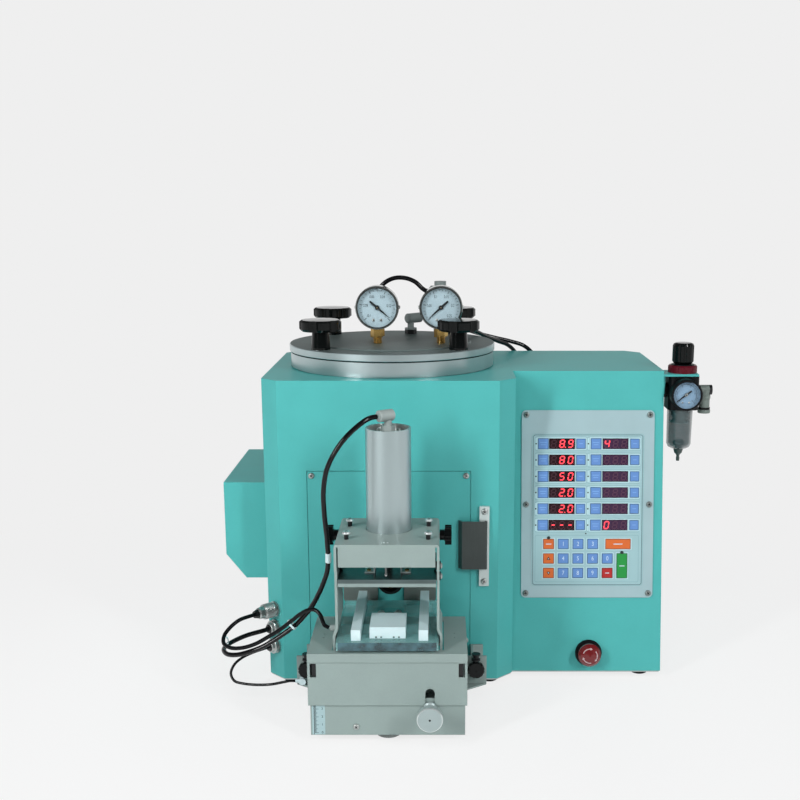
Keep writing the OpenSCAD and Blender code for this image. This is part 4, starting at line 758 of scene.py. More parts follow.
def rounded(cx: float, cy: float, w: float, h: float, r: float) -> list[Flat]:
    """Gives a rounded rectangle's outline.

    Args:
        cx: The middle along the plane.
        cy: The middle up the plane.
        w: The width.
        h: The height.
        r: The radius of the corners.

    Returns:
        The outline, counterclockwise.
    """
    x, y = w / 2 - r, h / 2 - r
    corners = ((x, y, 0), (-x, y, 90), (-x, -y, 180), (x, -y, 270))
    return [p for a, b, turn in corners for p in arc_points(cx + a, cy + b, r, turn, turn + 90, 5)]


class Mesh:
    """Collects faces of one piece, each with its finish."""

    def __init__(self, name: str) -> None:
        """Starts an empty piece."""
        self.name = name
        self.points: list[Vector] = []
        self.faces: list[tuple[int, ...]] = []
        self.finish_of: list[int] = []
        self.finishes: list[Finish] = []

    def _index(self, finish: Finish) -> int:
        """Gives a finish's place among this piece's materials.

        Args:
            finish: The finish, which is added if it is new.

        Returns:
            Its place, from 0.
        """
        if finish not in self.finishes:
            self.finishes.append(finish)
        return self.finishes.index(finish)

    def face(self, points: Sequence[Vector], finish: Finish) -> None:
        """Adds one face.

        Args:
            points: The corners, counterclockwise from outside.
            finish: Its finish.
        """
        first = len(self.points)
        self.points.extend(points)
        self.faces.append(tuple(range(first, first + len(points))))
        self.finish_of.append(self._index(finish))

    def flat(self, plane: Plane, outline: Outline, height: float, finish: Finish) -> None:
        """Adds a printed patch at a height over a plane."""
        self.face([plane.at(a, b, height) for a, b in outline], finish)

    def rings(self, rings: Sequence[Sequence[Vector]], finish: Finish, capped: bool = True) -> None:
        """Joins closed rings of points into a skin.

        Args:
            rings: Rings of the same number of points.
            finish: The skin's finish.
            capped: Whether the first and last ring are closed.
        """
        first = len(self.points)
        count = len(rings[0])
        index = self._index(finish)
        for ring in rings:
            self.points.extend(ring)
        for i in range(len(rings) - 1):
            for k in range(count):
                a, b = first + i * count + k, first + i * count + (k + 1) % count
                self.faces.append((a, b, b + count, a + count))
                self.finish_of.append(index)
        if capped:
            last = first + (len(rings) - 1) * count
            self.faces.append(tuple(range(first + count - 1, first - 1, -1)))
            self.faces.append(tuple(range(last, last + count)))
            self.finish_of.extend([index, index])

    def turned(self, plane: Plane, profile: Outline, finish: Finish, sides: int = 32) -> None:
        """Adds a turned form: radii and heights about the plane's normal.

        Args:
            plane: The plane whose normal is the axis.
            profile: Each ring's radius and height.
            finish: Its finish.
            sides: The sides of each ring.
        """
        rings = []
        for r, h in profile:
            circle = arc_points(0, 0, max(r, 0.01), 0, 360, sides)[:-1]
            rings.append([plane.at(*p, h) for p in circle])
        self.rings(rings, finish)

    def prism(
        self, plane: Plane, outline: Outline, low: float, high: float, finish: Finish, soft: float = 0.3
    ) -> None:
        """Adds a plate with softened upper edges.

        Args:
            plane: The plane that it stands on.
            outline: Its outline.
            low: Where it begins over the plane.
            high: Where it ends.
            finish: Its finish.
            soft: How far its upper edges are cut back.
        """
        cx = sum(a for a, _ in outline) / len(outline)
        cy = sum(b for _, b in outline) / len(outline)
        reach = max(math.dist((cx, cy), p) for p in outline)
        k = 1 - soft / reach
        inner = [(cx + (a - cx) * k, cy + (b - cy) * k) for a, b in outline]
        levels = [(outline, low), (outline, high - soft), (inner, high)]
        self.rings([[plane.at(a, b, h) for a, b in shape] for shape, h in levels], finish)

    def words(
        self,
        plane: Plane,
        text: str,
        size: float,
        a: float,
        b: float,
        height: float,
        finish: Finish,
        squeeze: float = 1.0,
    ) -> None:
        """Adds digits of the built-in typeface.

        Args:
            plane: The plane that they lie on.
            text: The digits.
            size: Their nominal size.
            a: Their middle along the plane.
            b: Their middle up the plane.
            height: Their height over it.
            finish: Their ink.
            squeeze: How much narrower than usual they are.
        """
        curve = bpy.data.curves.new("digits", "FONT")
        curve.body, curve.size = text, size
        curve.align_x, curve.align_y = "CENTER", "CENTER"
        holder = bpy.data.objects.new("digits", curve)
        bpy.context.scene.collection.objects.link(holder)
        bpy.context.view_layer.update()
        drawn = holder.evaluated_get(bpy.context.evaluated_depsgraph_get()).to_mesh()
        spots = [plane.at(a + v.co.x * squeeze, b + v.co.y, height) for v in drawn.vertices]
        for polygon in drawn.polygons:
            self.face([spots[i] for i in polygon.vertices], finish)
        bpy.data.objects.remove(holder)
        bpy.data.curves.remove(curve)

    def build(self, paints: Paintbox, smooth: bool = False, parent: str = "") -> bpy.types.Object:
        """Makes the Blender object.

        Args:
            paints: Where its materials come from.
            smooth: Whether its faces are shaded smoothly below SHARP_FROM.
            parent: The body that it rides on, if it is rigid.

        Returns:
            The new object.
        """
        data = bpy.data.meshes.new(self.name)
        data.from_pydata([tuple(p) for p in self.points], [], self.faces)
        for finish in self.finishes:
            data.materials.append(paints.material(finish))
        data.polygons.foreach_set("material_index", self.finish_of)
        if smooth:
            data.polygons.foreach_set("use_smooth", [True] * len(data.polygons))
            data.set_sharp_from_angle(angle=math.radians(SHARP_FROM))
        data.update()
        made = bpy.data.objects.new(self.name, data)
        bpy.context.scene.collection.objects.link(made)
        if parent:
            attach(made, parent)
        LOG.info("%s: %d faces", self.name, len(self.faces))
        return made


# Studio


@dataclass(frozen=True)
class SoftBox:
    """A rectangular lamp in metres: its place, what it faces, its size and power."""

    name: str
    at: Point
    aim: Point
    size: Flat
    watts: float
    glossy: bool = True

    def build(self) -> None:
        """Adds the lamp, which shows in gloss or not."""
        data = bpy.data.lights.new(self.name, "AREA")
        data.shape, data.energy = "RECTANGLE", self.watts
        data.size, data.size_y = self.size
        lamp = bpy.data.objects.new(self.name, data)
        lamp.location = self.at
        lamp.visible_glossy = self.glossy
        lamp.rotation_euler = (Vector(self.aim) - Vector(self.at)).to_track_quat("-Z", "Y").to_euler()
        bpy.context.scene.collection.objects.link(lamp)


@dataclass
class Studio:
    """Camera at the photographed angle, pale floor and soft lamps, in metres."""

    camera_at: Point = (-0.03897, -1.49326, 0.6236)
    camera_tilt: float = 77.34
    lens: float = 52.62
    sensor: float = 36.0
    shift: Flat = (-0.0494, 0.0789)
    floor_reach: float = 5.0
    floor_glow: float = 0.78
    shadow_fade: Flat = (450.0, 1100.0)
    lamps: tuple[SoftBox, ...] = (
        SoftBox("key_box", (2.2, -2.6, 1.95), (0, 0, 0.2), (0.4, 1.5), 56),
        SoftBox("left_box", (-1.40, -1.60, 1.10), (0, 0, 0.25), (0.25, 1.1), 26),
        SoftBox("upper_box", (-0.2, -2.0, 2.3), (0, 0, 0.2), (1.2, 0.6), 14, glossy=False),
        SoftBox("rear_fill", (0.3, 2.3, 1.2), (0, 0, 0.25), (1.6, 1.0), 12, glossy=False),
    )

    def build_camera(self) -> None:
        """Places the camera."""
        data = bpy.data.cameras.new("camera")
        data.lens, data.sensor_width = self.lens, self.sensor
        data.shift_x, data.shift_y = self.shift
        camera = bpy.data.objects.new("camera", data)
        camera.location = self.camera_at
        camera.rotation_euler = (math.radians(self.camera_tilt), 0, 0)
        bpy.context.scene.collection.objects.link(camera)
        bpy.context.scene.camera = camera

    def build(self) -> None:
        """Makes the world, the floor and the lamps."""
        self._build_world()
        r = self.floor_reach
        floor = Mesh("floor")
        floor.face([Vector(p) for p in ((-r, -r, 0), (r, -r, 0), (r, r, 0), (-r, r, 0))], FLOOR_PAPER)
        floor.build(Paintbox({FLOOR_PAPER.name: self._floor_material()}))
        for lamp in self.lamps:
            lamp.build()

    def _build_world(self) -> None:
        """Makes a room that is white for the eye.

        Gloss sees white only low behind the machine and a dim room elsewhere, and the
        room's own light is strongest at the horizon.
        """
        world = bpy.data.worlds.new("studio")
        bpy.context.scene.world = world
        shader = Shader("studio", world)
        looked = shader.node("ShaderNodeTexCoord").outputs["Generated"]
        ways = shader.node("ShaderNodeSeparateXYZ", None, {0: looked})
        back, up = Value(shader, ways.outputs[1]), Value(shader, ways.outputs[2])
        backdrop = back.ramp(-0.35, 0.15) * (1 - up.ramp(0.10, 0.50))
        horizon = 1 - up.ramp(0.0, 0.8)
        white, dim = (shader.light("ShaderNodeBackground", PAPER_WHITE, s) for s in (1.0, 0.16))
        low, high = (shader.light("ShaderNodeBackground", SKY_TINT, s) for s in (0.60, 0.12))
        camera, glossy, through = shader.rays()
        mirrored = shader.blend(backdrop, dim, white)
        lit = shader.blend(horizon, high, low)
        unseen = shader.blend(glossy, lit, mirrored)
        shader.finish(shader.blend(camera.larger(through), unseen, white))

    def _floor_material(self) -> Any:
        """Makes the pale floor, which keeps a faint shadow near the object.

        Returns:
            The material.
        """
        shader = Shader(FLOOR_PAPER.name)
        near_glow = shader.light("ShaderNodeEmission", (0.97, 0.97, 0.97), 1.0)
        far_glow = shader.light("ShaderNodeEmission", PAPER_WHITE, 1.0)
        paper = shader.mix(shader.noise(300.0), (0.85, 0.85, 0.85), (0.875, 0.875, 0.875))
        matt = shader.node("ShaderNodeBsdfDiffuse", None, {0: paper}).outputs[0]
        camera, glossy, through = shader.rays()
        seen = camera.larger(glossy).larger(through)
        near = shader.blend(seen * self.floor_glow, matt, near_glow)
        far = seen * shader.radius(*FRAME_SHIFT[:2]).ramp(*self.shadow_fade)
        return shader.finish(shader.blend(far, near, far_glow))


# Sub-assemblies

# A node with its base finish and the layers over it, and nodes of one finish each
Coat = tuple[str, Finish, list[Layer]]
Plain = dict[Finish, tuple[str, ...]]

# Nodes of folded sheet, and the radius that their edges are shaded with
FOLDED_SHEETS = (
    "main_housing", "console_housing", "side_housing", "regulator_bracket", "clamp_box", "sliding_cover",
)
FOLD_RADIUS = 0.9


@dataclass
class SubAssembly:
    """Part of the machine, which dresses its CAD nodes and adds what is too fine for them."""

    paints: Paintbox

    def plain(self) -> Plain:
        """Gives its CAD nodes of one finish."""
        return {}

    def layered(self) -> list[Coat]:
        """Gives its CAD nodes of more than one finish."""
        return []

    def dress(self) -> None:
        """Gives its CAD nodes their materials."""
        for finish, nodes in self.plain().items():
            for node in nodes:
                self.paints.dress(node, finish, edge=FOLD_RADIUS if node in FOLDED_SHEETS else 0.0)
        for node, base, layers in self.layered():
            self.paints.dress(node, base, layers)


# Hoses and cables


def smooth_route(points: Sequence[Point], step: float = 2.5) -> list[Vector]:
    """Runs a smooth line through the route's points.

    Args:
        points: The route in machine millimetres.
        step: The spacing of the result.

    Returns:
        Points of the smooth line, still in machine millimetres.
    """
    knots = [Vector(p) for p in points]
    knots = [2 * knots[0] - knots[1], *knots, 2 * knots[-1] - knots[-2]]
    line: list[Vector] = []
    for p0, p1, p2, p3 in zip(knots, knots[1:], knots[2:], knots[3:]):
        t1 = (p1 - p0).length ** 0.5
        t2 = t1 + (p2 - p1).length ** 0.5
        t3 = t2 + (p3 - p2).length ** 0.5
        count = max(2, round((p2 - p1).length / step))
        for i in range(count):
            t = t1 + (t2 - t1) * i / count
            a1 = p0 * ((t1 - t) / t1) + p1 * (t / t1)
            a2 = p1 * ((t2 - t) / (t2 - t1)) + p2 * ((t - t1) / (t2 - t1))
            a3 = p2 * ((t3 - t) / (t3 - t2)) + p3 * ((t - t2) / (t3 - t2))
            b1 = a1 * ((t2 - t) / t2) + a2 * (t / t2)
            b2 = a2 * ((t3 - t) / (t3 - t1)) + a3 * ((t - t1) / (t3 - t1))
            line.append(b1 * ((t2 - t) / (t2 - t1)) + b2 * ((t - t1) / (t2 - t1)))
    return [*line, knots[-2]]


def tube_rings(line: Sequence[Vector], radius: float, sides: int = 16) -> list[list[Vector]]:
    """Gives rings about a line that don't twist, in model metres.

    Args:
        line: The middle line in machine millimetres.
        radius: The tube's radius.
        sides: The sides of each ring.

    Returns:
        One ring for each point of the line.
    """
    up = Vector((0, 0, 1))
    rings = []
    for i, spot in enumerate(line):
        along = (line[min(i + 1, len(line) - 1)] - line[max(i - 1, 0)]).normalized()
        if abs(along.dot(up)) > 0.98 and i == 0:
            up = Vector((1, 0, 0))
        up = (up - along * up.dot(along)).normalized()
        side = along.cross(up)
        turns = [math.tau * k / sides for k in range(sides)]
        rings.append([model_point(*(spot + radius * (math.cos(t) * up + math.sin(t) * side))) for t in turns])
    return rings


@dataclass
class Cord:
    """One free hose or cable along its route.

    Attributes:
        name: The piece's name.
        route: Points of its middle line.
        radius: Half its diameter.
        finish: Its finish.
        body: The body that it rides on when there is no other, or the one at its start.
        other: The body at its end, if it is another; such a cord is put on neither body.
        blend_from: Where it would begin to leave the first body; nothing acts on it.
        blend_to: Where it would follow the second one fully; nothing acts on it.
    """

    name: str
    route: Sequence[Point]
    radius: float
    finish: Finish
    body: str
    other: str = ""
    blend_from: Point = (0, 0, 0)
    blend_to: Point = (0, 0, 0)
    stiffness: str = "medium"

    def build(self, paints: Paintbox, pieces: Sequence[bpy.types.Object] = ()) -> bpy.types.Object:
        """Makes the tube and puts it on its body when it has no other.

        Args:
            paints: Where its material comes from.
            pieces: The pieces that sit on it; not used.

        Returns:
            The new object.
        """
        line = smooth_route(self.route)
        mesh = Mesh(self.name)
        mesh.rings(tube_rings(line, self.radius), self.finish)
        piece = mesh.build(paints, smooth=True)
        path = [model_point(*p) for p in line]
        2 * self.radius / 1000
        if self.other:
            ends = (model_point(*self.blend_from), model_point(*self.blend_to))
            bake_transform(piece)
        else:
            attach(piece, self.body)
        return piece


AIR_HOSE: list[Point] = [
    (-159.4, 0.6, 80), (-165, -5, 80), (-184, -16, 78), (-199, -29, 75), (-206, -43, 74),
    (-206, -57, 74), (-199, -70, 74), (-185, -79, 77), (-169, -84, 83), (-153, -86, 90), (-138, -86, 99),
    (-125, -86, 108), (-112, -86, 118), (-101, -87, 130), (-91, -89, 143), (-83, -92, 158),
    (-76, -96, 174), (-70, -100, 192), (-68, -104, 210), (-69, -108, 238), (-71, -111, 266),
    (-71, -114, 294), (-67, -115, 318), (-58, -116, 338), (-46, -114, 355), (-31, -108, 369),
    (-18, -100.6, 377), (-9.6, -94.3, 378),
]
SENSOR_CABLE: list[Point] = [
    (-173.6, -13.6, 105), (-180, -20, 105), (-190, -30, 104), (-200, -40, 98),
    (-206, -50, 91), (-205, -61, 85), (-195, -71, 83), (-179, -79, 86), (-162, -84, 93),
    (-146, -87, 103), (-130, -90, 114), (-116, -94, 126), (-104, -99, 137), (-94, -104, 144),
    (-86, -108, 146), (-79, -112, 142), (-75.8, -114.5, 135), (-72.6, -115, 128.4), (-67.8, -115, 126),
]
THIN_CABLE: list[Point] = [
    (-159.4, 0.6, 55), (-165, -5, 55), (-178, -16, 54), (-190, -23, 50), (-199, -28, 43),
    (-203, -33, 33), (-198, -38, 25), (-186, -42, 23), (-168, -46, 23), (-149, -49, 25), (-132, -52, 29.6),
    (-125, -52, 31), (-118.2, -52, 31),
]
LID_HOSE_HIGH: list[Point] = [
    (37, 250, 460), (42, 255, 460), (57, 268, 456), (76, 280, 448), (98, 289, 440),
    (121, 295, 432), (146, 300, 425), (170, 304, 419), (190, 307, 412), (204, 311, 399),
    (211, 312, 381), (211, 312, 365),
]
LID_HOSE_LOW: list[Point] = [
    (77, 177, 458), (81, 181, 458), (92, 198, 455), (105, 219, 447), (118, 239, 440),
    (134, 262, 430), (150, 281, 422), (166, 297, 414), (178, 308, 401), (185, 312, 383),
    (185, 312, 365),
]
LINK_HOSE: list[Point] = [
    (-22, 165, 482.2), (-22, 165, 491), (-19, 165, 504), (-10, 165, 515), (3, 165, 521.1),
    (18, 165, 521.1), (31, 165, 516), (41, 165, 507), (46, 165, 504), (50, 165, 504),
]


@dataclass
class Hoses(SubAssembly):
    """All hoses and cables, the marker sleeve and the two ties."""

    hose_r: float = 3.0
    cable_r: float = 2.5
    thin_r: float = 1.75
    tie_at: Point = (-114, -90, 121.5)
    sleeve_spot: int = 18
    tie_spot: int = 11

    def plain(self) -> Plain:
        """Gives its CAD nodes of one finish."""
        return {HOSE: ("clamp_hoses", "lid_hoses")}

    def build(self) -> None:
        """Makes the cords and what sits on them."""
        to_lift = ("housing", "clamp_lift", AIR_HOSE[0], self.tie_at)
        to_carriage = ("clamp_lift", "clamp_carriage")
        tie = self._tie("tie_middle", (-115.5, -90, 120.5), (13, -1, 11), 9.6, 4.6)
        end_tie = self._tie("tie_left", (-205.4, -49, 84), (-1, -14, -6), 9.0, 3.6)
        for piece in (tie, end_tie):
            model_point(*to_lift[2])
            model_point(*to_lift[3])
            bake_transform(piece)
        sleeve = self._sleeve()
        cut = self.sleeve_spot
        lower, upper = AIR_HOSE[: cut + 1], AIR_HOSE[cut:]
        hose = Cord("air_hose_lower", lower, self.hose_r, HOSE, *to_lift)
        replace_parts(hose.build(self.paints, [sleeve, tie, end_tie]), "clamp_hoses")
        Cord("air_hose_upper", upper, self.hose_r, HOSE, *to_carriage, upper[0], upper[-3]).build(self.paints)
        cut = self.tie_spot
        lower, upper = SENSOR_CABLE[: cut + 1], SENSOR_CABLE[cut:]
        on_frame = (*to_carriage, upper[0], upper[-2])
        Cord("sensor_cable_lower", lower, self.cable_r, CABLE, *to_lift, "limp").build(self.paints)
        Cord("sensor_cable_upper", upper, self.cable_r, CABLE, *on_frame, "limp").build(self.paints)
        Cord("thin_cable", THIN_CABLE, self.thin_r, CABLE, "housing", stiffness="limp").build(self.paints)
        high, low = LID_HOSE_HIGH, LID_HOSE_LOW
        hose = Cord("lid_hose_high", high, self.hose_r, HOSE, "lid", "housing", high[1], high[-2])
        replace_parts(hose.build(self.paints), "lid_hoses")
        Cord("lid_hose_low", low, self.hose_r, HOSE, "lid", "housing", low[1], low[-2]).build(self.paints)
        Cord("link_hose", LINK_HOSE, self.hose_r, HOSE, "lid").build(self.paints)

    def _sleeve(self) -> bpy.types.Object:
        """Makes the white marker sleeve round the air hose.

        Returns:
            The new object.
        """
        line = smooth_route(AIR_HOSE[self.sleeve_spot - 1 : self.sleeve_spot + 2], 1.0)
        middle = min(range(len(line)), key=lambda i: (line[i] - Vector(AIR_HOSE[self.sleeve_spot])).length)
        mesh = Mesh("marker_sleeve")
        mesh.rings(tube_rings(line[middle - 6 : middle + 7], self.hose_r + 0.6, 24), WHITE_PLASTIC)
        return mesh.build(self.paints, smooth=True, parent="clamp_lift")

    def _tie(self, name: str, at: Point, along: Point, length: float, width: float) -> bpy.types.Object:
        """Makes a cable tie round two cords that lie side by side.

        Args:
            name: The piece's name.
            at: Its middle.
            along: The direction of the cords.
            length: Its reach from one side to the other.
            width: How far it reaches across that.

        Returns:
            The new object.
        """
        ahead = Vector(along).normalized()
        up = (Vector((0, 0, 1)) - ahead * ahead.z).normalized()
        side = ahead.cross(up)
        outline = rounded(0, 0, width * 2, length * 1.35, width * 0.95)
        rings = []
        for shift, grow in ((-1.3, 1.0), (-1.3, 1.12), (1.3, 1.12), (1.3, 1.0)):
            middle = Vector(at) + ahead * shift
            rings.append([model_point(*(middle + side * a * grow + up * b * grow)) for a, b in outline])
        mesh = Mesh(name)
        mesh.rings([*rings, rings[0]], WHITE_PLASTIC, capped=False)
        return mesh.build(self.paints, smooth=True)


# Printed and small pieces


def turned_by(points: Iterable[Flat], degrees: float) -> list[Flat]:
    """Turns flat points about the origin."""
    c, s = math.cos(math.radians(degrees)), math.sin(math.radians(degrees))
    return [(a * c - b * s, a * s + b * c) for a, b in points]


def moved_by(points: Iterable[Flat], a: float, b: float) -> list[Flat]:
    """Moves flat points."""
    return [(x + a, y + b) for x, y in points]


def outline_strip(outline: Outline, width: float) -> list[list[Flat]]:
    """Gives the four-sided patches of a line drawn along a closed outline.

    Args:
        outline: The outline, counterclockwise.
        width: The line's width, laid to the inside.

    Returns:
        One patch for each side of the outline.
    """
    count = len(outline)
    inner = []
    for i in range(count):
        (ax, ay), (bx, by), (cx, cy) = outline[i - 1], outline[i], outline[(i + 1) % count]
        n1 = Vector((ay - by, bx - ax)).normalized()
        n2 = Vector((by - cy, cx - bx)).normalized()
        side = (n1 + n2).normalized()
        reach = width / max(0.4, side.dot(n1))
        inner.append((bx + side.x * reach, by + side.y * reach))
    return [[outline[i], outline[(i + 1) % count], inner[(i + 1) % count], inner[i]] for i in range(count)]


@dataclass
class ScrewHead:
    """A pan head with a cross recess, laid over a seat.

    Attributes:
        r: Its radius.
        height: Its height over the seat.
        finish: The head's finish.
        cross: The recess's finish.
    """

    r: float = 3.9
    height: float = 2.45
    finish: Finish = ZINC
    cross: Finish = INK

    def add(self, mesh: Mesh, seat: Plane, turn: float = 20.0) -> None:
        """Adds the head and its recess to a mesh.

        Args:
            mesh: The mesh that takes them.
            seat: What the head stands on.
            turn: The recess's turn, in degrees.
        """
        r, h = self.r, self.height
        side = [(r, 0.02), (r, h * 0.42), (r * 0.93, h * 0.66)]
        profile = [*side, (r * 0.66, h), (r * 0.5, h + 0.05), (0.0, h + 0.07)]
        mesh.turned(seat, profile, self.finish, 24)
        arm, half = r * 0.52, r * 0.11
        cross = [
            (half, half), (arm, half), (arm, -half), (half, -half), (half, -arm), (-half, -arm),
            (-half, -half), (-arm, -half), (-arm, half), (-half, half), (-half, arm), (half, arm),
        ]
        mesh.flat(seat, turned_by(reversed(cross), turn), h + 0.12, self.cross)


@dataclass(frozen=True)
class Scale:
    """The scale of a round dial.

    Attributes:
        zero: Where it begins, in degrees from the right.
        step: The degrees from one number to the next.
        labels: The numbers.
        parts: How many parts lie between two numbers.
        longer: Every how many parts a tick is a little longer, or 0.
        tick_r: The radius that the ticks reach.
        label_r: The radius of the numbers' middles.
        label_size: Their size.
        long_tick: The length of a tick with a number.
        short_tick: The length of the others.
    """

    zero: float
    step: float
    labels: tuple[str, ...]
    parts: int
    longer: int
    tick_r: float
    label_r: float
    label_size: float
    long_tick: float = 4.0
    short_tick: float = 2.0

    def draw(self, mesh: Mesh, face: Plane, height: float) -> None:
        """Prints the ticks and numbers on a face.

        Args:
            mesh: The mesh that takes them.
            face: The dial's face.
            height: Their height over it.
        """
        for i in range((len(self.labels) - 1) * self.parts + 1):
            angle = self.zero + self.step * i / self.parts
            major = i % self.parts == 0
            medium = self.longer and i % self.longer == 0
            length = self.long_tick if major else self.short_tick * (1.55 if medium else 1.0)
            half = self.tick_r * (0.0135 if major else 0.009)
            inner = self.tick_r - length
            tick = [(inner, -half), (self.tick_r, -half), (self.tick_r, half), (inner, half)]
            mesh.flat(face, turned_by(tick, angle), height, INK)
        for i, label in enumerate(self.labels):
            angle = math.radians(self.zero + self.step * i)
            a, b = self.label_r * math.cos(angle), self.label_r * math.sin(angle)
            mesh.words(face, label, self.label_size, a, b, height, INK, 0.66)


# The lit segments of each sign
SEGMENTS = {
    "0": "abcdef", "2": "abged", "4": "fgbc", "5": "afgcd", "8": "abcdefg", "9": "abcdfg", "-": "g", " ": "",
}


@dataclass
class Digit:
    """One slanted seven-segment digit of a display, with its size and its segments' thickness."""

    w: float = 7.0
    h: float = 10.8
    t: float = 1.6
    lean: float = math.tan(math.radians(9.0))

    def _bar(self, a0: float, b0: float, a1: float, b1: float) -> list[Flat]:
        """Gives one segment between two points, its ends pointed.

        Args:
            a0: Where it begins along the display.
            b0: Where it begins up the display.
            a1: Where it ends along the display.
            b1: Where it ends up the display.

        Returns:
            Its outline, slanted.
        """
        run = Vector((a1 - a0, b1 - b0)).normalized()
        side = Vector((-run.y, run.x)) * self.t / 2
        cut = run * self.t * 0.5
        p, q = Vector((a0, b0)) + run * 0.18, Vector((a1, b1)) - run * 0.18
        ring = [p, p + cut - side, q - cut - side, q, q - cut + side, p + cut + side]
        return [(v.x + v.y * self.lean, v.y) for v in ring]

    def add(
        self, mesh: Mesh, plane: Plane, a: float, b: float, shown: str, ghost: Finish, dot: bool = False
    ) -> None:
        """Adds a digit's segments, lit or dim.

        Args:
            mesh: The mesh that takes them.
            plane: The display's plane.
            a: The digit's middle along the plane.
            b: Its middle up the plane.
            shown: What the digit shows.
            ghost: The finish of a segment that isn't lit.
            dot: Whether the decimal point is lit.
        """
        x, y = self.w / 2 - self.t / 2, self.h / 2 - self.t / 2
        ends = {
            "a": (-x, y, x, y), "b": (x, y, x, 0), "c": (x, 0, x, -y), "d": (-x, -y, x, -y),
            "e": (-x, 0, -x, -y), "f": (-x, y, -x, 0), "g": (-x, 0, x, 0),
        }
        for name, run in ends.items():
            height, finish = (0.10, LED_LIT) if name in SEGMENTS[shown] else (0.07, ghost)
            mesh.flat(plane, moved_by(self._bar(*run), a, b), height, finish)
        spot = moved_by(arc_points(0, 0, 0.8, 0, 330, 11), a + self.w / 2 + 0.5, b - self.h / 2 + 0.7)
        mesh.flat(plane, spot, 0.11 if dot else 0.07, LED_LIT if dot else ghost)


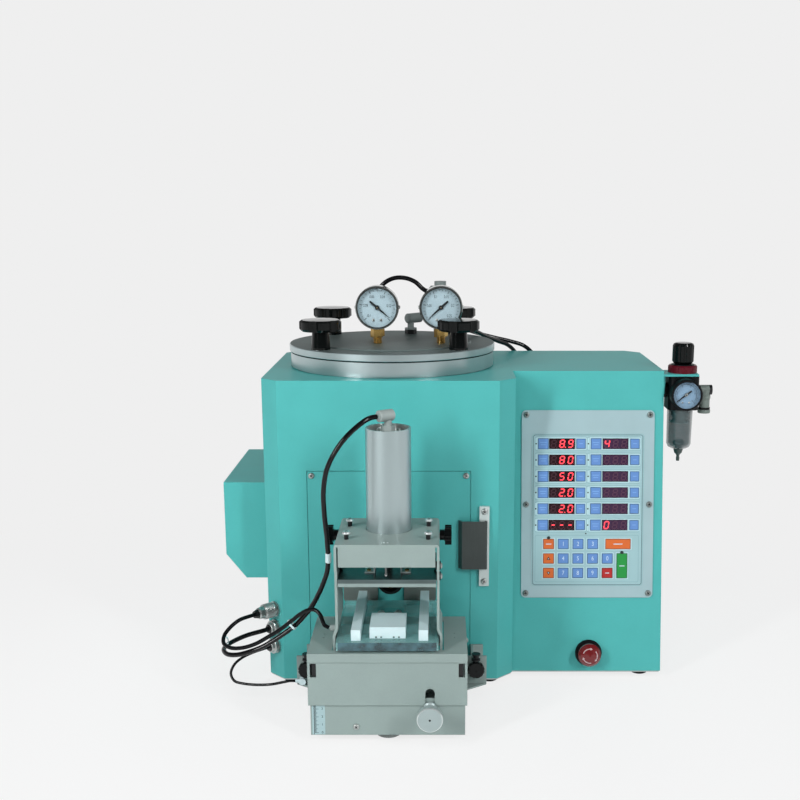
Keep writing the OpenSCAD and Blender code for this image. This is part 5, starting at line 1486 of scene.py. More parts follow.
@dataclass
class PotAndLid(SubAssembly):
    """Pot, nozzle and lid, with the dials, hands, small screws and threads of its two gauges."""

    vacuum_x: float = -18.0
    pressure_x: float = 66.0
    axis_z: float = 486.2
    dial_y: float = 111.0
    dial_r: float = 27.28
    hand_y: float = 109.3
    case_r: float = 28.5
    case_screw_y: float = 117.0
    stem_y: float = 118.0
    stem_r: float = 5.05
    thread_r: float = 5.75
    thread_turns: int = 6
    thread_pitch: float = 1.6
    lid_top: float = 438.2

    def plain(self) -> Plain:
        """Gives its CAD nodes of one finish.

        Returns:
            The nodes of each finish.
        """
        return {
            LID_METAL: ("wax_pot",),
            GASKET_AND_SHADE: ("pot_gasket",),
            GLASS: ("gauge_glasses",),
            BRASS: ("gauge_fittings", "nozzle"),
            BLACK_MATTE: ("nozzle_guard", "vacuum_pointer", "pressure_pointer"),
        }

    def layered(self) -> list[Coat]:
        """Gives its CAD nodes of more than one finish.

        Returns:
            Each node with its base finish and the layers over it.
        """
        faces = any_of(*(near_line(x, self.axis_z, self.dial_r, Y) for x in (self.vacuum_x, self.pressure_x)))
        # Painted shade on the gauge cases' inner walls, between rim and dial
        painted_shade_rims = all_of(short_of(Y, 110.8), faces)
        dials = all_of(past(Y, 110.8), short_of(Y, 112.05), faces)
        return [
            # The lid's top face gets the painted shade
            ("lid", LID_METAL, [Layer(SHADED_LID_TOP, past(Z, 436.62))]),
            ("gauge_cases", GAUGE_STEEL, [Layer(GASKET_AND_SHADE, painted_shade_rims), Layer(DIAL_WHITE, dials)]),
            ("lid_elbows", LID_FITTING, [Layer(BLACK_MATTE, short_of(Z, 444.3))]),
            *((f"lid_knob_{i}", BLACK_GLOSS, [Layer(ZINC, short_of(Z, 436.8))]) for i in range(1, 5)),
        ]

    def build(self) -> None:
        """Makes what the lid's gauges show."""
        sizes = {"tick_r": 23.6, "label_r": 15.6, "label_size": 5.6}
        labels = ("0", "0.02", "0.04", "0.06", "0.08", "-0.1")
        vacuum = Scale(zero=-46.0, step=54.0, labels=labels, parts=4, longer=2, **sizes)
        labels = ("0", "0.05", "0.1", "0.15", "0.2", "0.25")
        pressure = Scale(zero=225.0, step=-54.0, labels=labels, parts=5, longer=0, **sizes)
        for name, x, scale in (("vacuum", self.vacuum_x, vacuum), ("pressure", self.pressure_x, pressure)):
            face = facing_front(x, self.dial_y, self.axis_z)
            mesh = Mesh(f"{name}_dial")
            scale.draw(mesh, face, 0.08)
            for a, turn in ((-5.1, 10), (5.1, 35)):
                ScrewHead(2.0, 0.7).add(mesh, face.shifted(a, -16.5), turn)
            for side in (1, -1):
                at = (x + side * (self.case_r - 0.1), self.case_screw_y, self.axis_z)
                ScrewHead(2.3, 1.6).add(mesh, Plane(at, (0, side, 0), (0, 0, 1)))
            mesh.build(self.paints, smooth=True, parent="lid")
            self._threads(name, x)
        self._hand("vacuum", self.vacuum_x, -40.0)
        self._hand("pressure", self.pressure_x, 222.0)

    def _hand(self, name: str, x: float, angle: float) -> None:
        """Makes a hand with a round tail and a bronze hub.

        Args:
            name: The gauge.
            x: Its axis.
            angle: Where the hand points, in degrees.
        """
        plane = facing_front(x, self.hand_y, self.axis_z)
        tail = arc_points(-11.5, 0, 1.25, 90, 270, 8)
        point = [(20.4, -0.22), (20.8, 0.0), (20.4, 0.22)]
        outline = [(0, -1.3), (4, -1.05), *point, (4, 1.05), (0, 1.3), *tail]
        mesh = Mesh(f"{name}_hand")
        mesh.prism(plane, turned_by(outline, angle), 0.0, 0.5, INK, 0.1)
        mesh.turned(plane, [(2.7, 0.0), (2.7, 0.9), (2.3, 1.2), (1.1, 1.22)], INK, 28)
        mesh.turned(plane, [(1.1, 1.2), (0.9, 1.4), (0.0, 1.45)], BRONZE, 20)
        mesh.build(self.paints, smooth=True, parent=f"{name}_pointer")

    def _threads(self, name: str, x: float) -> None:
        """Makes the thread of a gauge's stem.

        Args:
            name: The gauge.
            x: Its axis.
        """
        foot, crest = self.stem_r + 0.05, self.thread_r
        profile = [(self.stem_r, 0.1)]
        for i in range(self.thread_turns):
            low = 0.4 + i * self.thread_pitch
            profile += [(foot, low), (crest, low + 0.45), (crest, low + 0.85), (foot, low + 1.35)]
        profile.append((self.stem_r, 9.95))
        mesh = Mesh(f"{name}_stem_thread")
        mesh.turned(facing_up(x, self.stem_y, self.lid_top), profile, BRASS, 32)
        mesh.build(self.paints, smooth=True, parent="lid")


@dataclass
class ControlPanel(SubAssembly):
    """Panel plate and film, with the print, the displays and the keys on it."""

    middle_x: float = 259.0
    middle_s: float = 215.5
    film_top: float = 2.8
    film_size: Flat = (144.6, 199.4)
    window_floor: float = 2.4
    rows: tuple[float, ...] = (87.6, 66.3, 44.6, 23.2, 1.8, -19.8)
    windows: Flat = (-34.1, 36.0)
    digit_step: float = 11.1
    key_top: float = 3.3
    key_size: Flat = (14.0, 13.4)
    label_keys: tuple[Flat, ...] = ((-58.9, 13.0), (-9.3, 12.0), (10.4, 13.0), (61.4, 12.0))
    wide_label: float = 12.5
    digit_columns: tuple[float, ...] = (-51.0, -31.6, -12.2, 7.2)
    digit_rows: tuple[float, ...] = (-44.9, -64.2, -83.5)
    last_column: float = 26.6
    long_key_x: float = 40.6
    tall_key_x: float = 46.0
    screw_s: float = 223.0
    screw_reach: Flat = (81.0, 118.0)
    readings: tuple[tuple[str, str], ...] = (
        (" 8.9", "4  "), (" 80", "   "), (" 50", "   "), (" 2.0", "   "), (" 2.0", "   "), ("---", "0  "),
    )

    @property
    def plane(self) -> Plane:
        """Gives the console's face at the film's middle."""
        return on_console(self.middle_x, self.middle_s)

    def plain(self) -> Plain:
        """Gives its CAD nodes of one finish."""
        return {PANEL_METAL: ("control_panel",), FILM: ("keypad",)}

    def build(self) -> None:
        """Makes the panel's printed and raised parts."""
        self._print_film()
        self._make_displays()
        self._make_keys()
        self._make_screws()

    def _line(self, mesh: Mesh, outline: Outline, width: float, finish: Finish, height: float) -> None:
        """Prints a thin line along a closed outline."""
        for patch in outline_strip(outline, width):
            mesh.flat(self.plane, patch, height, finish)

    def _lamp(self, mesh: Mesh, x: float, y: float, r: float) -> None:
        """Adds a small round lamp."""
        dome = [(r, 0.0), (r - 0.15, 0.35), (0.0, 0.5)]
        mesh.turned(self.plane.shifted(x, y, self.film_top), dome, LAMP, 12)

    def _print_film(self) -> None:
        """Prints the outlines, the pale frames and the small lamps."""
        mesh = Mesh("panel_print")
        line, frame, shade = (self.film_top + rise for rise in (0.05, 0.06, 0.07))
        self._line(mesh, rounded(0, 0, *self.film_size, 3.6), 1.0, FILM_LINE, line)
        self._line(mesh, rounded(-0.6, -64.4, 136.8, 62.5, 2.0), 0.4, FILM_FAINT, line)
        for y in self.rows:
            for left, right in ((-69.3, -1.7), (-0.7, 68.6)):
                box = rounded((left + right) / 2, y, right - left, 18.9, 1.8)
                self._line(mesh, box, 0.4, FILM_FAINT, line)
            for x, lamp_x in ((-68.0, -68.2), (0.5, 0.4)):
                mesh.flat(self.plane, rounded(x, y, 2.1, 15.2, 0.5), frame, FILM_PALE)
                self._lamp(mesh, lamp_x, y, 1.05)
            for x in self.windows:
                self._line(mesh, rounded(x, y, 36.3, 16.4, 0.6), 1.2, FILM_PALE, frame)
                self._line(mesh, rounded(x, y, 33.9, 14.2, 0.2), 0.62, LED_DARK, shade)
        self._lamp(mesh, -2.0, -31.0, 1.0)
        for x, y in ((self.digit_columns[0], self.digit_rows[0] + 8.1), (self.tall_key_x, -56.2)):
            dome = [(2.3, 0.0), (2.2, 0.7), (1.5, 1.3), (0.0, 1.6)]
            mesh.turned(self.plane.shifted(x, y, self.film_top), dome, LAMP, 16)
        mesh.build(self.paints, parent="housing")

    def _make_displays(self) -> None:
        """Makes the twelve display windows with their digits."""
        mesh = Mesh("display_digits")
        digit = Digit()
        window = self.plane.shifted(0, 0, self.window_floor)
        for y, texts in zip(self.rows, self.readings):
            for x, text in zip(self.windows, texts):
                pane, ghost = (LED_DARK, LED_DIM) if x < 0 else (LED_VIOLET, LED_SHADE)
                mesh.flat(window, rounded(x, y, 33.4, 12.9, 0.3), 0.04, pane)
                for i, sign in enumerate(text.replace(".", "")):
                    dot = "." in text and text.index(".") - 1 == i
                    digit.add(mesh, window, x + (i - 1) * self.digit_step + 0.2, y, sign, ghost, dot)
        mesh.build(self.paints, parent="housing")

    def _key(self, mesh: Mesh, x: float, y: float, w: float, h: float, finish: Finish) -> None:
        """Adds one key cap with its dark edge and its pale frame.

        Args:
            mesh: The mesh that takes it.
            x: Its middle across the film.
            y: Its middle up the film.
            w: Its width.
            h: Its height.
            finish: Its colour.
        """
        self._line(mesh, rounded(x, y, w + 2.8, h + 2.8, 1.0), 1.2, FILM_PALE, self.film_top + 0.06)
        low, high = self.film_top + 0.02, self.key_top + 0.12
        mesh.prism(self.plane, rounded(x, y, w + 0.4, h + 0.4, 0.5), low, high, finish, 0.25)
        self._line(mesh, rounded(x, y, w + 0.1, h + 0.1, 0.4), 0.8, KEY_SHADES[finish], high + 0.03)

    def _make_keys(self) -> None:
        """Makes the label keys and the keys below them."""
        mesh = Mesh("key_caps")
        face = self.key_top + 0.2
        for y in self.rows:
            for x, w in self.label_keys:
                wide = w > self.wide_label
                self._key(mesh, x, y, w + (0.7 if wide else 0.0), 14.3 if wide else 13.0, KEY_BLUE)
                for rise, length in ((1.7, 8.6), (-1.3, 6.6)) if wide else ((0.2, 4.8),):
                    mesh.flat(self.plane, rounded(x, y + rise, length, 0.9, 0.3), face, KEY_BAR)
        for r, y in enumerate(self.digit_rows):
            for c, x in enumerate(self.digit_columns):
                self._key(mesh, x, y, *self.key_size, KEY_ORANGE if c == 0 else KEY_BLUE)
                if c:
                    mesh.words(self.plane, str(3 * r + c), 8.0, x, y, face, KEY_MARK, 0.8)
        w, h = self.key_size
        top, middle, low = self.digit_rows
        self._key(mesh, self.long_key_x, top, 33.0, h, KEY_ORANGE)
        self._key(mesh, self.last_column, middle, w, h, KEY_BLUE)
        mesh.words(self.plane, "0", 8.0, self.last_column, middle, face, KEY_MARK, 0.8)
        self._key(mesh, self.last_column, low, w, h, KEY_RED)
        self._key(mesh, self.tall_key_x, (middle + low) / 2, w, 33.0, KEY_GREEN)
        bars = (
            (self.digit_columns[0], top, 7.4), (self.long_key_x, top, 12.0),
            (self.tall_key_x, -74.0, 7.0), (self.last_column, low, 5.4),
        )
        for x, y, length in bars:
            mesh.flat(self.plane, rounded(x, y, length, 1.1, 0.4), face, KEY_MARK)
        self._arrow(mesh, middle, 1, face)
        self._arrow(mesh, low, -1, face)
        mesh.build(self.paints, smooth=True, parent="housing")

    def _arrow(self, mesh: Mesh, y: float, way: int, face: float) -> None:
        """Prints a triangle with a pale middle on an orange key.

        Args:
            mesh: The mesh that takes it.
            y: The key's middle up the film.
            way: 1 for up, -1 for down.
            face: The key's top.
        """
        big = [(-2.4, -1.6), (2.4, -1.6), (0.0, 2.6)]
        small = [(-1.05, -0.85), (1.05, -0.85), (0.0, 1.0)]
        for shape, rise, finish in ((big, 0.0, INK), (small, 0.03, KEY_MARK)):
            spots = [(self.digit_columns[0] + a, y + way * b) for a, b in shape[::way]]
            mesh.flat(self.plane, spots, face + rise, finish)

    def _make_screws(self) -> None:
        """Lays screw heads with dark recesses over the panel's screws."""
        mesh = Mesh("panel_screw_heads")
        head = ScrewHead(4.0, 2.55, SCREW_ZINC)
        reach, rise = self.screw_reach
        for i, x in enumerate((-reach, reach)):
            for j, s in enumerate((-rise, 0.0, rise)):
                seat = on_console(self.middle_x + x, self.screw_s + s).shifted(0, 0, 2.0)
                head.add(mesh, seat, 15 + 25 * i + 30 * j)
        mesh.build(self.paints, smooth=True, parent="housing")


@dataclass
class StopButton(SubAssembly):
    """Red stop button with its white turn arrows and the ring behind it."""

    x: float = 262.0
    s: float = 24.5
    arc_r: float = 9.5
    width: float = 1.25
    starts: tuple[float, ...] = (39.0, 159.0, 279.0)
    steps: int = 10
    step_angle: float = 7.2
    tip_angle: float = 17.0
    barb: float = 1.2
    dome: tuple[Flat, ...] = ((0.0, 21.3), (7.0, 20.8), (12.0, 19.3), (15.0, 15.8))

    def plain(self) -> Plain:
        """Gives its CAD nodes of one finish."""
        return {COLLAR_BLACK: ("estop_collar",), RED_PLASTIC: ("estop_button",)}

    def _height(self, r: float) -> float:
        """Gives the button's surface at a radius, above the console's face.

        Args:
            r: The radius.

        Returns:
            The height.
        """
        for (r0, h0), (r1, h1) in zip(self.dome, self.dome[1:]):
            if r <= r1:
                return h0 + (h1 - h0) * (r - r0) / (r1 - r0)
        return self.dome[-1][1]

    def _spot(self, r: float, degrees: float) -> Vector:
        """Gives a point just above the button's surface."""
        a = math.radians(degrees)
        return on_console(self.x, self.s).at(r * math.cos(a), r * math.sin(a), self._height(r) + 0.12)

    def build(self) -> None:
        """Prints three arrows and makes the dark ring at the foot of the button."""
        mesh = Mesh("stop_button_arrows")
        inner, outer = self.arc_r - self.width / 2, self.arc_r + self.width / 2
        for start in self.starts:
            for i in range(self.steps):
                a0, a1 = start - i * self.step_angle, start - (i + 1) * self.step_angle
                corners = ((inner, a0), (inner, a1), (outer, a1), (outer, a0))
                mesh.face([self._spot(*corner) for corner in corners], ARROW_WHITE)
            foot = start - self.steps * self.step_angle
            tip = ((inner - self.barb, foot), (self.arc_r, foot - self.tip_angle), (outer + self.barb, foot))
            mesh.face([self._spot(*corner) for corner in tip], ARROW_WHITE)
        mesh.build(self.paints, parent="estop_button")
        ring = Mesh("stop_button_ring")
        profile = [(17.6, 0.05), (17.8, 1.2), (17.2, 2.1), (16.1, 2.3), (16.0, 0.05)]
        ring.turned(on_console(self.x, self.s), profile, COLLAR_BLACK, 48)
        ring.build(self.paints, smooth=True, parent="housing")


@dataclass
class Regulator(SubAssembly):
    """Filter regulator, with its dial, its hand, its inner parts and its elbow's rings."""

    x: float = 385.5
    y: float = 105.0
    nut_x: float = 386.0
    bowl_x: float = 385.0
    elbow_x: float = 417.0
    dial_z: float = 376.5
    dial_y: float = 72.0
    hand_y: float = 70.0
    bowl_top: float = 353.5
    bore_r: float = 7.05

    def plain(self) -> Plain:
        """Gives its CAD nodes of one finish.

        Returns:
            The nodes of each finish.
        """
        return {
            TURQUOISE: ("regulator_bracket",),
            SMOKE: ("filter_bowl",),
            DRAIN: ("filter_drain",),
            BLACK_GLOSS: ("regulator_knob",),
            BLACK_MATTE: ("regulator_pointer",),
        }

    def layered(self) -> list[Coat]:
        """Gives its CAD nodes of more than one finish.

        Returns:
            Each node with its base finish and the layers over it.
        """
        nut = all_of(past(Z, 401.45), short_of(Z, 411.6), far_from_line(self.nut_x, self.y, 15.05))
        dial = all_of(past(Y, 71.8), short_of(Y, 73.1), near_line(self.x, self.dial_z, 19.3, Y))
        pane = all_of(past(Y, 66.1), short_of(Y, 68.15), near_line(self.x, self.dial_z, 19.22, Y))
        return [
            ("regulator_body", BLACK_MATTE, [Layer(RED_NUT, nut)]),
            ("regulator_gauge", BLACK_MATTE, [Layer(DIAL_BLUE, dial), Layer(GLASS, pane)]),
        ]

    def build(self) -> None:
        """Makes the small parts on and in the regulator."""
        self._print_dial()
        self._make_hand()
        self._fill_bowl()
        self._ring_fitting()

    def _print_dial(self) -> None:
        """Prints the scale and its thin circle, and adds the dial's screws."""
        face = facing_front(self.x, self.dial_y, self.dial_z)
        labels = ("0", "2", "4", "6", "8", "10")
        scale = Scale(225.0, -54.0, labels, 10, 5, 16.6, 11.6, 3.4, long_tick=2.6, short_tick=1.3)
        mesh = Mesh("regulator_dial")
        scale.draw(mesh, face, 0.07)
        for i in range(36):
            a0, a1 = 225 - i * 7.5, 225 - (i + 1) * 7.5
            patch = [*arc_points(0, 0, 13.5, a1, a0, 1), *arc_points(0, 0, 13.9, a0, a1, 1)]
            mesh.flat(face, patch, 0.06, INK)
        for a in (-4.2, 4.2):
            ScrewHead(1.3, 0.5).add(mesh, face.shifted(a, -10.5))
        mesh.build(self.paints, smooth=True, parent="housing")

    def _make_hand(self) -> None:
        """Makes the hand with its hub."""
        mesh = Mesh("regulator_hand")
        plane = facing_front(self.x, self.hand_y, self.dial_z)
        tail = arc_points(-7.0, 0, 1.0, 90, 270, 8)
        outline = [(0, -0.95), (14.4, -0.18), (14.7, 0.0), (14.4, 0.18), (0, 0.95), *tail]
        mesh.prism(plane, turned_by(outline, 218.0), 0.0, 0.4, INK, 0.1)
        mesh.turned(plane, [(1.9, 0.0), (1.9, 0.7), (1.5, 0.9), (0.0, 0.95)], ZINC, 24)
        mesh.build(self.paints, smooth=True, parent="regulator_pointer")

    def _fill_bowl(self) -> None:
        """Makes the baffle, the filter element and the float seat seen through the bowl."""
        axis = facing_up(self.bowl_x, self.y, 0.0)
        baffle = [(0.0, 0.2), (12.6, 0.2), (12.6, 5.0), (11.4, 6.0), (11.4, 10.5), (0.0, 10.5)]
        element = [(0.0, 10.4), (9.4, 10.4), (9.4, 15.5), (12.4, 18.0), (12.4, 19.4), (0.0, 19.4)]
        mesh = Mesh("filter_element")
        for profile in (baffle, element):
            mesh.turned(axis, [(r, self.bowl_top - depth) for r, depth in profile], BOWL_BAFFLE, 32)
        seat = [(0.0, 310.2), (5.4, 310.2), (7.6, 307.5), (7.6, 306.4), (0.0, 306.4)]
        mesh.turned(axis, seat, BLACK_MATTE, 28)
        mesh.build(self.paints, smooth=True, parent="housing")

    def _ring_fitting(self) -> None:
        """Makes the release collar, the dark ring and the flange on the inlet elbow."""
        mesh = Mesh("inlet_elbow_rings")
        axis = facing_up(self.elbow_x, self.y, 0.0)
        r = self.bore_r
        collar = [(5.6, 346.8), (7.9, 347.0), (8.3, 348.0), (8.3, 350.9), (7.8, 351.6), (r, 351.7)]
        mesh.turned(axis, collar, REGULATOR_FITTING, 32)
        mesh.turned(axis, [(r, 352.0), (7.9, 352.1), (7.9, 354.6), (r, 354.7)], BLACK_GLOSS, 32)
        mesh.turned(axis, [(r, 366.0), (7.7, 366.4), (7.7, 371.6), (r, 372.0)], REGULATOR_FITTING, 32)
        mesh.build(self.paints, smooth=True, parent="housing")


@dataclass
class MouldClamp(SubAssembly):
    """Mould clamp, with its rule and its small fastenings."""

    middle: float = 3.5
    box_y: float = -161.7
    frame_top: float = 240.6
    plate_top: float = 198.2
    acrylic_top: float = 126.2
    stop_front: float = -151.1
    stop_back: float = -100.0
    frame_front_y: float = -146.5
    rule_low: Flat = (-85.3, 10.7)
    rule_high: Flat = (-70.2, 47.6)
    rule_t: float = 0.18
    rule_zero: float = 12.8
    rods: tuple[Flat, ...] = ((-78.5, 90.0), (85.5, 90.0))
    lock_knob: Flat = (53.0, 46.0)

    def plain(self) -> Plain:
        """Gives its CAD nodes of one finish.

        Returns:
            The nodes of each finish.
        """
        return {
            LIGHT_COAT: ("clamp_box", "sliding_cover"),
            # The height wheel is darkened by painted shade
            SHADED_WHEEL_STEEL: ("height_wheel",),
            GREY_PLASTIC: ("cylinder_elbow",),
            GREY_METAL: ("carriage",),
        }

    def layered(self) -> list[Coat]:
        """Gives its CAD nodes of more than one finish.

        Returns:
            Each node with its base finish and the layers over it.
        """
        return [
            ("clamp_brackets", LIGHT_COAT, [Layer(BLACK_MATTE, short_of(Y, -47.15))]),
            ("bracket_knob_left", BLACK_GLOSS, [Layer(ZINC, past(Y, -47.2))]),
            ("bracket_knob_right", BLACK_GLOSS, [Layer(ZINC, past(Y, -47.2))]),
            ("star_knob_left", BLACK_GLOSS, [Layer(ZINC, past(X, -57.2))]),
            ("star_knob_right", BLACK_GLOSS, [Layer(ZINC, short_of(X, 64.2))]),
            *self._frame_coats(),
            *self._slide_coats(),
        ]

    def _frame_coats(self) -> list[Coat]:
        """Gives the finishes of the frame, the cylinder and the press.

        Returns:
            Each node with its base finish and the layers over it.
        """
        beside = all_of(short_of(X, -60.6), past(Y, -120.0), short_of(Y, -110.0))
        gland = all_of(beside, past(Z, 120.0), short_of(Z, 131.0))
        cap = all_of(past(Z, 340.0), near_line(*CYLINDER_AXIS, 24.6))
        collar = all_of(past(Z, 198.0), short_of(Z, 202.4), far_from_line(*CYLINDER_AXIS, 4.2))
        plate = [
            Layer(EDGE_STEEL, short_of(Z, 198.12)),
            Layer(PAD_GREY, short_of(Z, 193.4)),
            Layer(PLAIN_STEEL, past(Z, 198.3)),
        ]
        return [
            ("clamp_frame", LIGHT_COAT, [Layer(GREY_PLASTIC, gland)]),
            ("frame_screws", PALE_METAL, [Layer(BLACK_MATTE, all_of(past(Z, 240.5), short_of(Z, 247.05)))]),
            ("cylinder", SATIN_METAL, [Layer(ZINC, cap), Layer(GREY_METAL, short_of(Z, 237.7))]),
            ("piston_rod", CHROME, [Layer(ZINC, collar)]),
            # The press plate's top carries the painted dark reflection
            ("press_plate", DARK_REFLECTION_STEEL, plate),
        ]

    def _slide_coats(self) -> list[Coat]:
        """Gives the finishes of the rods, the platform and the lock knob.

        Returns:
            Each node with its base finish and the layers over it.
        """
        ends = any_of(short_of(Y, -155.0), all_of(*(far_from_line(*rod, 4.3, Y) for rod in self.rods)))
        # The platform's edges take the painted shade and reflection
        edges = any_of(short_of(Y, -164.9), short_of(X, -55.9), past(X, 62.9))
        posts = all_of(past(Y, -99.95), past(X, -15.0), short_of(X, 22.0))
        # Painted shade inside the knob's centre hole
        shaded_hole = all_of(short_of(Y, -195.0), near_line(*self.lock_knob, 1.35, Y))
        rim = all_of(short_of(Y, -199.0), far_from_line(*self.lock_knob, 13.85, Y))
        return [
            ("guide_rods", CHROME, [Layer(BLACK_MATTE, ends)]),
            ("platform", ACRYLIC, [Layer(ACRYLIC_EDGE_SHADE, edges)]),
            ("mould_guides", WHITE_PLASTIC, [Layer(GREY_METAL, posts)]),
            ("lock_knob", KNOB_METAL, [Layer(PALE_METAL, rim), Layer(INK, shaded_hole)]),
        ]

    def build(self) -> None:
        """Makes the clamp's printed and small pieces."""
        self._rule()
        self._box_screw()
        self._frame_fastenings()
        self._stop_pin()
        self._press_fastenings()
        self._guide_screws()

    def _rule(self) -> None:
        """Makes the steel rule at the left of the box's front, thinner than the slide's gap."""
        (left, low), (right, high) = self.rule_low, self.rule_high
        face = facing_front(0, self.box_y, 0)
        plate = rounded((left + right) / 2, (low + high) / 2, right - left, high - low, 0.4)
        mesh = Mesh("rule_strip")
        mesh.prism(face, plate, 0.0, self.rule_t, RULE_FACE, 0.06)
        for i in range(36):
            z = self.rule_zero + i
            length = 5.4 if i % 10 == 0 else 3.9 if i % 5 == 0 else 2.6
            a, b = left + 2.2, left + 2.2 + length
            mesh.flat(face, [(a, z - 0.24), (b, z - 0.24), (b, z + 0.24), (a, z + 0.24)], 0.2, INK)
        a, b = left + 2.0, left + 2.5
        mesh.flat(face, [(a, low), (b, low), (b, high), (a, high)], 0.2, INK)
        for i in range(4):
            mesh.words(face, str(i), 4.2, right - 3.2, 13.2 + 10 * i, 0.21, INK)
        mesh.build(self.paints, parent="housing")

    def _box_screw(self) -> None:
        """Makes the pan head screw on the box's front."""
        mesh = Mesh("box_screw")
        ScrewHead(3.7, 2.4).add(mesh, facing_front(-33.8, self.box_y, 20.5), 40)
        mesh.build(self.paints, smooth=True, parent="housing")

    def _frame_fastenings(self) -> None:
        """Makes the heads on the frame's top and sides and two small studs."""
        mesh = Mesh("frame_screw_heads")
        washer = [(5.4, 0.02), (5.4, 1.1), (4.9, 1.4), (3.6, 1.45)]
        nut = [(5.4, 0.02), (5.4, 1.3), (3.0, 1.6), (2.2, 3.4), (0.0, 3.6)]
        for s in (-1, 1):
            for y in (-131.0, -75.0):
                seat = facing_up(self.middle + 47.5 * s, y, self.frame_top + 6.5)
                ScrewHead(4.7, 3.1, PALE_METAL).add(mesh, seat, 30 * s)
            for z in (202.0, 189.0):
                seat = Plane((self.middle + 60.5 * s, -110.0, z), (0, s, 0), (0, 0, 1))
                mesh.turned(seat, washer, BLACK_MATTE, 24)
                ScrewHead(3.75, 3.3).add(mesh, seat, 25)
                inside = Plane((self.middle + 57.4 * s, -110.0, z), (0, -s, 0), (0, 0, 1))
                mesh.turned(inside, nut, BLACK_MATTE, 24)
        for a in (-3.2, 0.8):
            stud = facing_up(self.middle + a, self.frame_front_y, self.frame_top)
            mesh.turned(stud, [(1.3, 0.0), (1.2, 0.5), (0.0, 0.7)], PALE_METAL, 16)
        mesh.build(self.paints, smooth=True, parent="clamp_carriage")

    def _stop_pin(self) -> None:
        """Makes the slim pin with a ball end that hangs from the frame's top."""
        mesh = Mesh("frame_stop_pin")
        axis = facing_up(self.middle - 1.2, self.frame_front_y, 0.0)
        ball = [(0.0, 199.4), (1.3, 199.8), (2.0, 201.2), (2.0, 202.4), (1.3, 203.8)]
        mesh.turned(axis, [*ball, (1.3, 237.7), (0.0, 237.7)], CHROME, 20)
        mesh.build(self.paints, smooth=True, parent="clamp_carriage")

    def _press_fastenings(self) -> None:
        """Makes the brass screws in the bent guides and the rod's nut."""
        mesh = Mesh("press_fastenings")
        for s in (-1, 1):
            for y, turn in ((-121.0, 20), (-109.0, 50)):
                seat = facing_up(self.middle + 22.5 * s, y, self.plate_top + 1.5)
                ScrewHead(2.6, 1.7, BRASS).add(mesh, seat, turn)
        corners = arc_points(0, 0, 8.0, 30, 330, 5)
        mesh.prism(facing_up(*CYLINDER_AXIS, self.plate_top), corners, 0.02, 4.1, PALE_METAL, 0.5)
        mesh.build(self.paints, smooth=True, parent="press")

    def _guide_screws(self) -> None:
        """Makes the knurled screws of the stop block and the tiny front ones."""
        mesh = Mesh("stop_block_screws")
        knurl = [(4.9, 0.05), (5.2, 0.6), (5.2, 5.2), (4.7, 5.8), (3.0, 5.9), (3.0, 11.1), (0.0, 11.2)]
        for s in (-1, 1):
            x = self.middle + 10.3 * s
            seat = Plane((x, self.stop_back, self.acrylic_top + 8.0), (-1, 0, 0), (0, 0, 1))
            mesh.turned(seat, knurl, GREY_METAL, 28)
            for a in (-3.0, 3.0):
                front = facing_front(x + a, self.stop_front, self.acrylic_top + 1.8)
                mesh.turned(front, [(1.25, 0.0), (1.1, 0.7), (0.0, 0.9)], CHROME, 14)
        mesh.build(self.paints, smooth=True, parent="clamp_carriage")


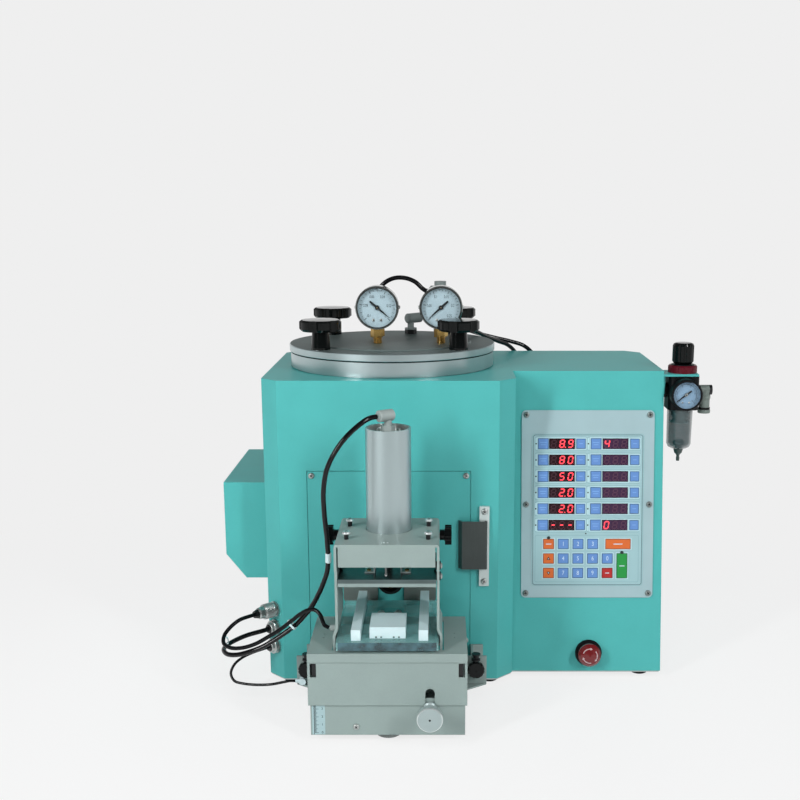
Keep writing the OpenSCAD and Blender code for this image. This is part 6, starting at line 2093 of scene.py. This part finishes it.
@dataclass
class Cabinet(SubAssembly):
    """Cabinet and console, with their screw heads, plug ribs and inlet pins."""

    rear_y: float = 298.0
    rear_screw_xs: tuple[float, ...] = (-130.0, 12.0, 153.0, 328.0)
    rear_screw_zs: Flat = (34.0, 382.0)
    cover_screws: tuple[Flat, ...] = ((-97.6, 65.4), (97.6, 65.4), (-97.6, 285.2), (97.6, 285.2))
    shield_x: float = 121.0
    shield_screw_zs: Flat = (147.1, 239.5)
    plugs: tuple[Flat, ...] = ((105.0, 34.0), (80.0, 14.0), (55.0, 14.0))
    rib_pitch: float = 1.15
    inlet: Point = (298.0, 286.0, 60.0)

    def plain(self) -> Plain:
        """Gives its CAD nodes of one finish.

        Returns:
            The nodes of each finish.
        """
        return {
            TURQUOISE: ("main_housing", "console_housing", "side_housing", "rear_cover", "front_cover"),
            ZINC: ("base_plate", "cover_screws"),
            RUBBER: ("feet",),
            SHIELD_STEEL: ("shield_plate",),
        }

    def layered(self) -> list[Coat]:
        """Gives its CAD nodes of more than one finish.

        Returns:
            Each node with its base finish and the layers over it.
        """
        boots = any_of(
            all_of(past(Z, 92.0), beyond_bevel(28.9)),
            all_of(short_of(Z, 92.0), beyond_bevel(11.9)),
        )
        fittings = [
            Layer(BLACK_MATTE, all_of(past(X, 422.2), past(Z, 365.0))),
            Layer(BLACK_MATTE, all_of(past(X, 380.0), short_of(Z, 350.6))),
            Layer(WHITE_PLASTIC, all_of(short_of(X, 0.0), short_of(Z, 45.0))),
        ]
        return [
            # The nozzle plate carries painted shade; the bar right of it is plain steel
            ("front_plates", SHADED_NOZZLE_PLATE, [Layer(PLAIN_STEEL, past(X, 100.0))]),
            ("panel_sockets", ZINC, [Layer(BLACK_MATTE, past(Y, 280.0))]),
            ("cable_plugs", ZINC, [Layer(CABLE, boots)]),
            ("air_fittings", REGULATOR_FITTING, fittings),
        ]

    def build(self) -> None:
        """Makes the cabinet's small pieces."""
        self._screw_heads()
        self._plug_ribs()
        self._inlet_pins()

    def _screw_heads(self) -> None:
        """Lays heads with a cross recess over the screws of the covers and the shield's bar."""
        mesh = Mesh("cover_screw_heads")
        head = ScrewHead(3.95, 2.5)
        for i, (x, z) in enumerate(self.cover_screws):
            head.add(mesh, facing_front(x, 0, z), 20 * i)
        for z in self.shield_screw_zs:
            head.add(mesh, facing_front(self.shield_x, -4.0, z), z)
        for x in self.rear_screw_xs:
            for z in self.rear_screw_zs:
                head.add(mesh, Plane((x, self.rear_y, z), (-1, 0, 0), (0, 0, 1)), x)
        mesh.build(self.paints, smooth=True, parent="housing")

    def _plug_ribs(self) -> None:
        """Makes the ribbed grips of the three plugs."""
        mesh = Mesh("plug_ribs")
        for z, length in self.plugs:
            seat = Plane((*BEVEL_SPOT, z), (HALF_ROOT, -HALF_ROOT, 0), (0, 0, 1))
            stop = length * 0.55
            profile = [(9.45, 6.6)]
            at = 6.7
            while at < stop - 0.5:
                profile += [(9.55, at), (9.95, at + 0.25), (9.95, at + 0.6), (9.55, at + 0.85)]
                at += self.rib_pitch
            mesh.turned(seat, [*profile, (9.45, max(at, stop))], ZINC, 40)
        mesh.build(self.paints, smooth=True, parent="housing")

    def _inlet_pins(self) -> None:
        """Makes the three pins in the mains inlet."""
        mesh = Mesh("inlet_pins")
        face = Plane(self.inlet, (-1, 0, 0), (0, 0, 1))
        for a, b in ((-6.0, -1.5), (6.0, -1.5), (0.0, 2.5)):
            mesh.prism(face, rounded(a, b, 2.0, 4.2, 0.4), 0.0, 11.0, ZINC, 0.4)
        mesh.build(self.paints, smooth=True, parent="housing")


def main() -> None:
    """Builds the scene in order: camera, cords and studio, then the finishes and the small pieces."""
    logging.basicConfig(level=logging.INFO)
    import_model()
    bpy.context.scene.view_settings.view_transform = "Standard"
    paints = Paintbox()
    studio = Studio()
    studio.build_camera()
    hoses = Hoses(paints)
    hoses.build()
    studio.build()
    kinds = (PotAndLid, ControlPanel, StopButton, Regulator, MouldClamp, Cabinet)
    assemblies = [kind(paints) for kind in kinds]
    for assembly in (hoses, *assemblies):
        assembly.dress()
    for assembly in assemblies:
        assembly.build()


if __name__ == "__main__":
    main()
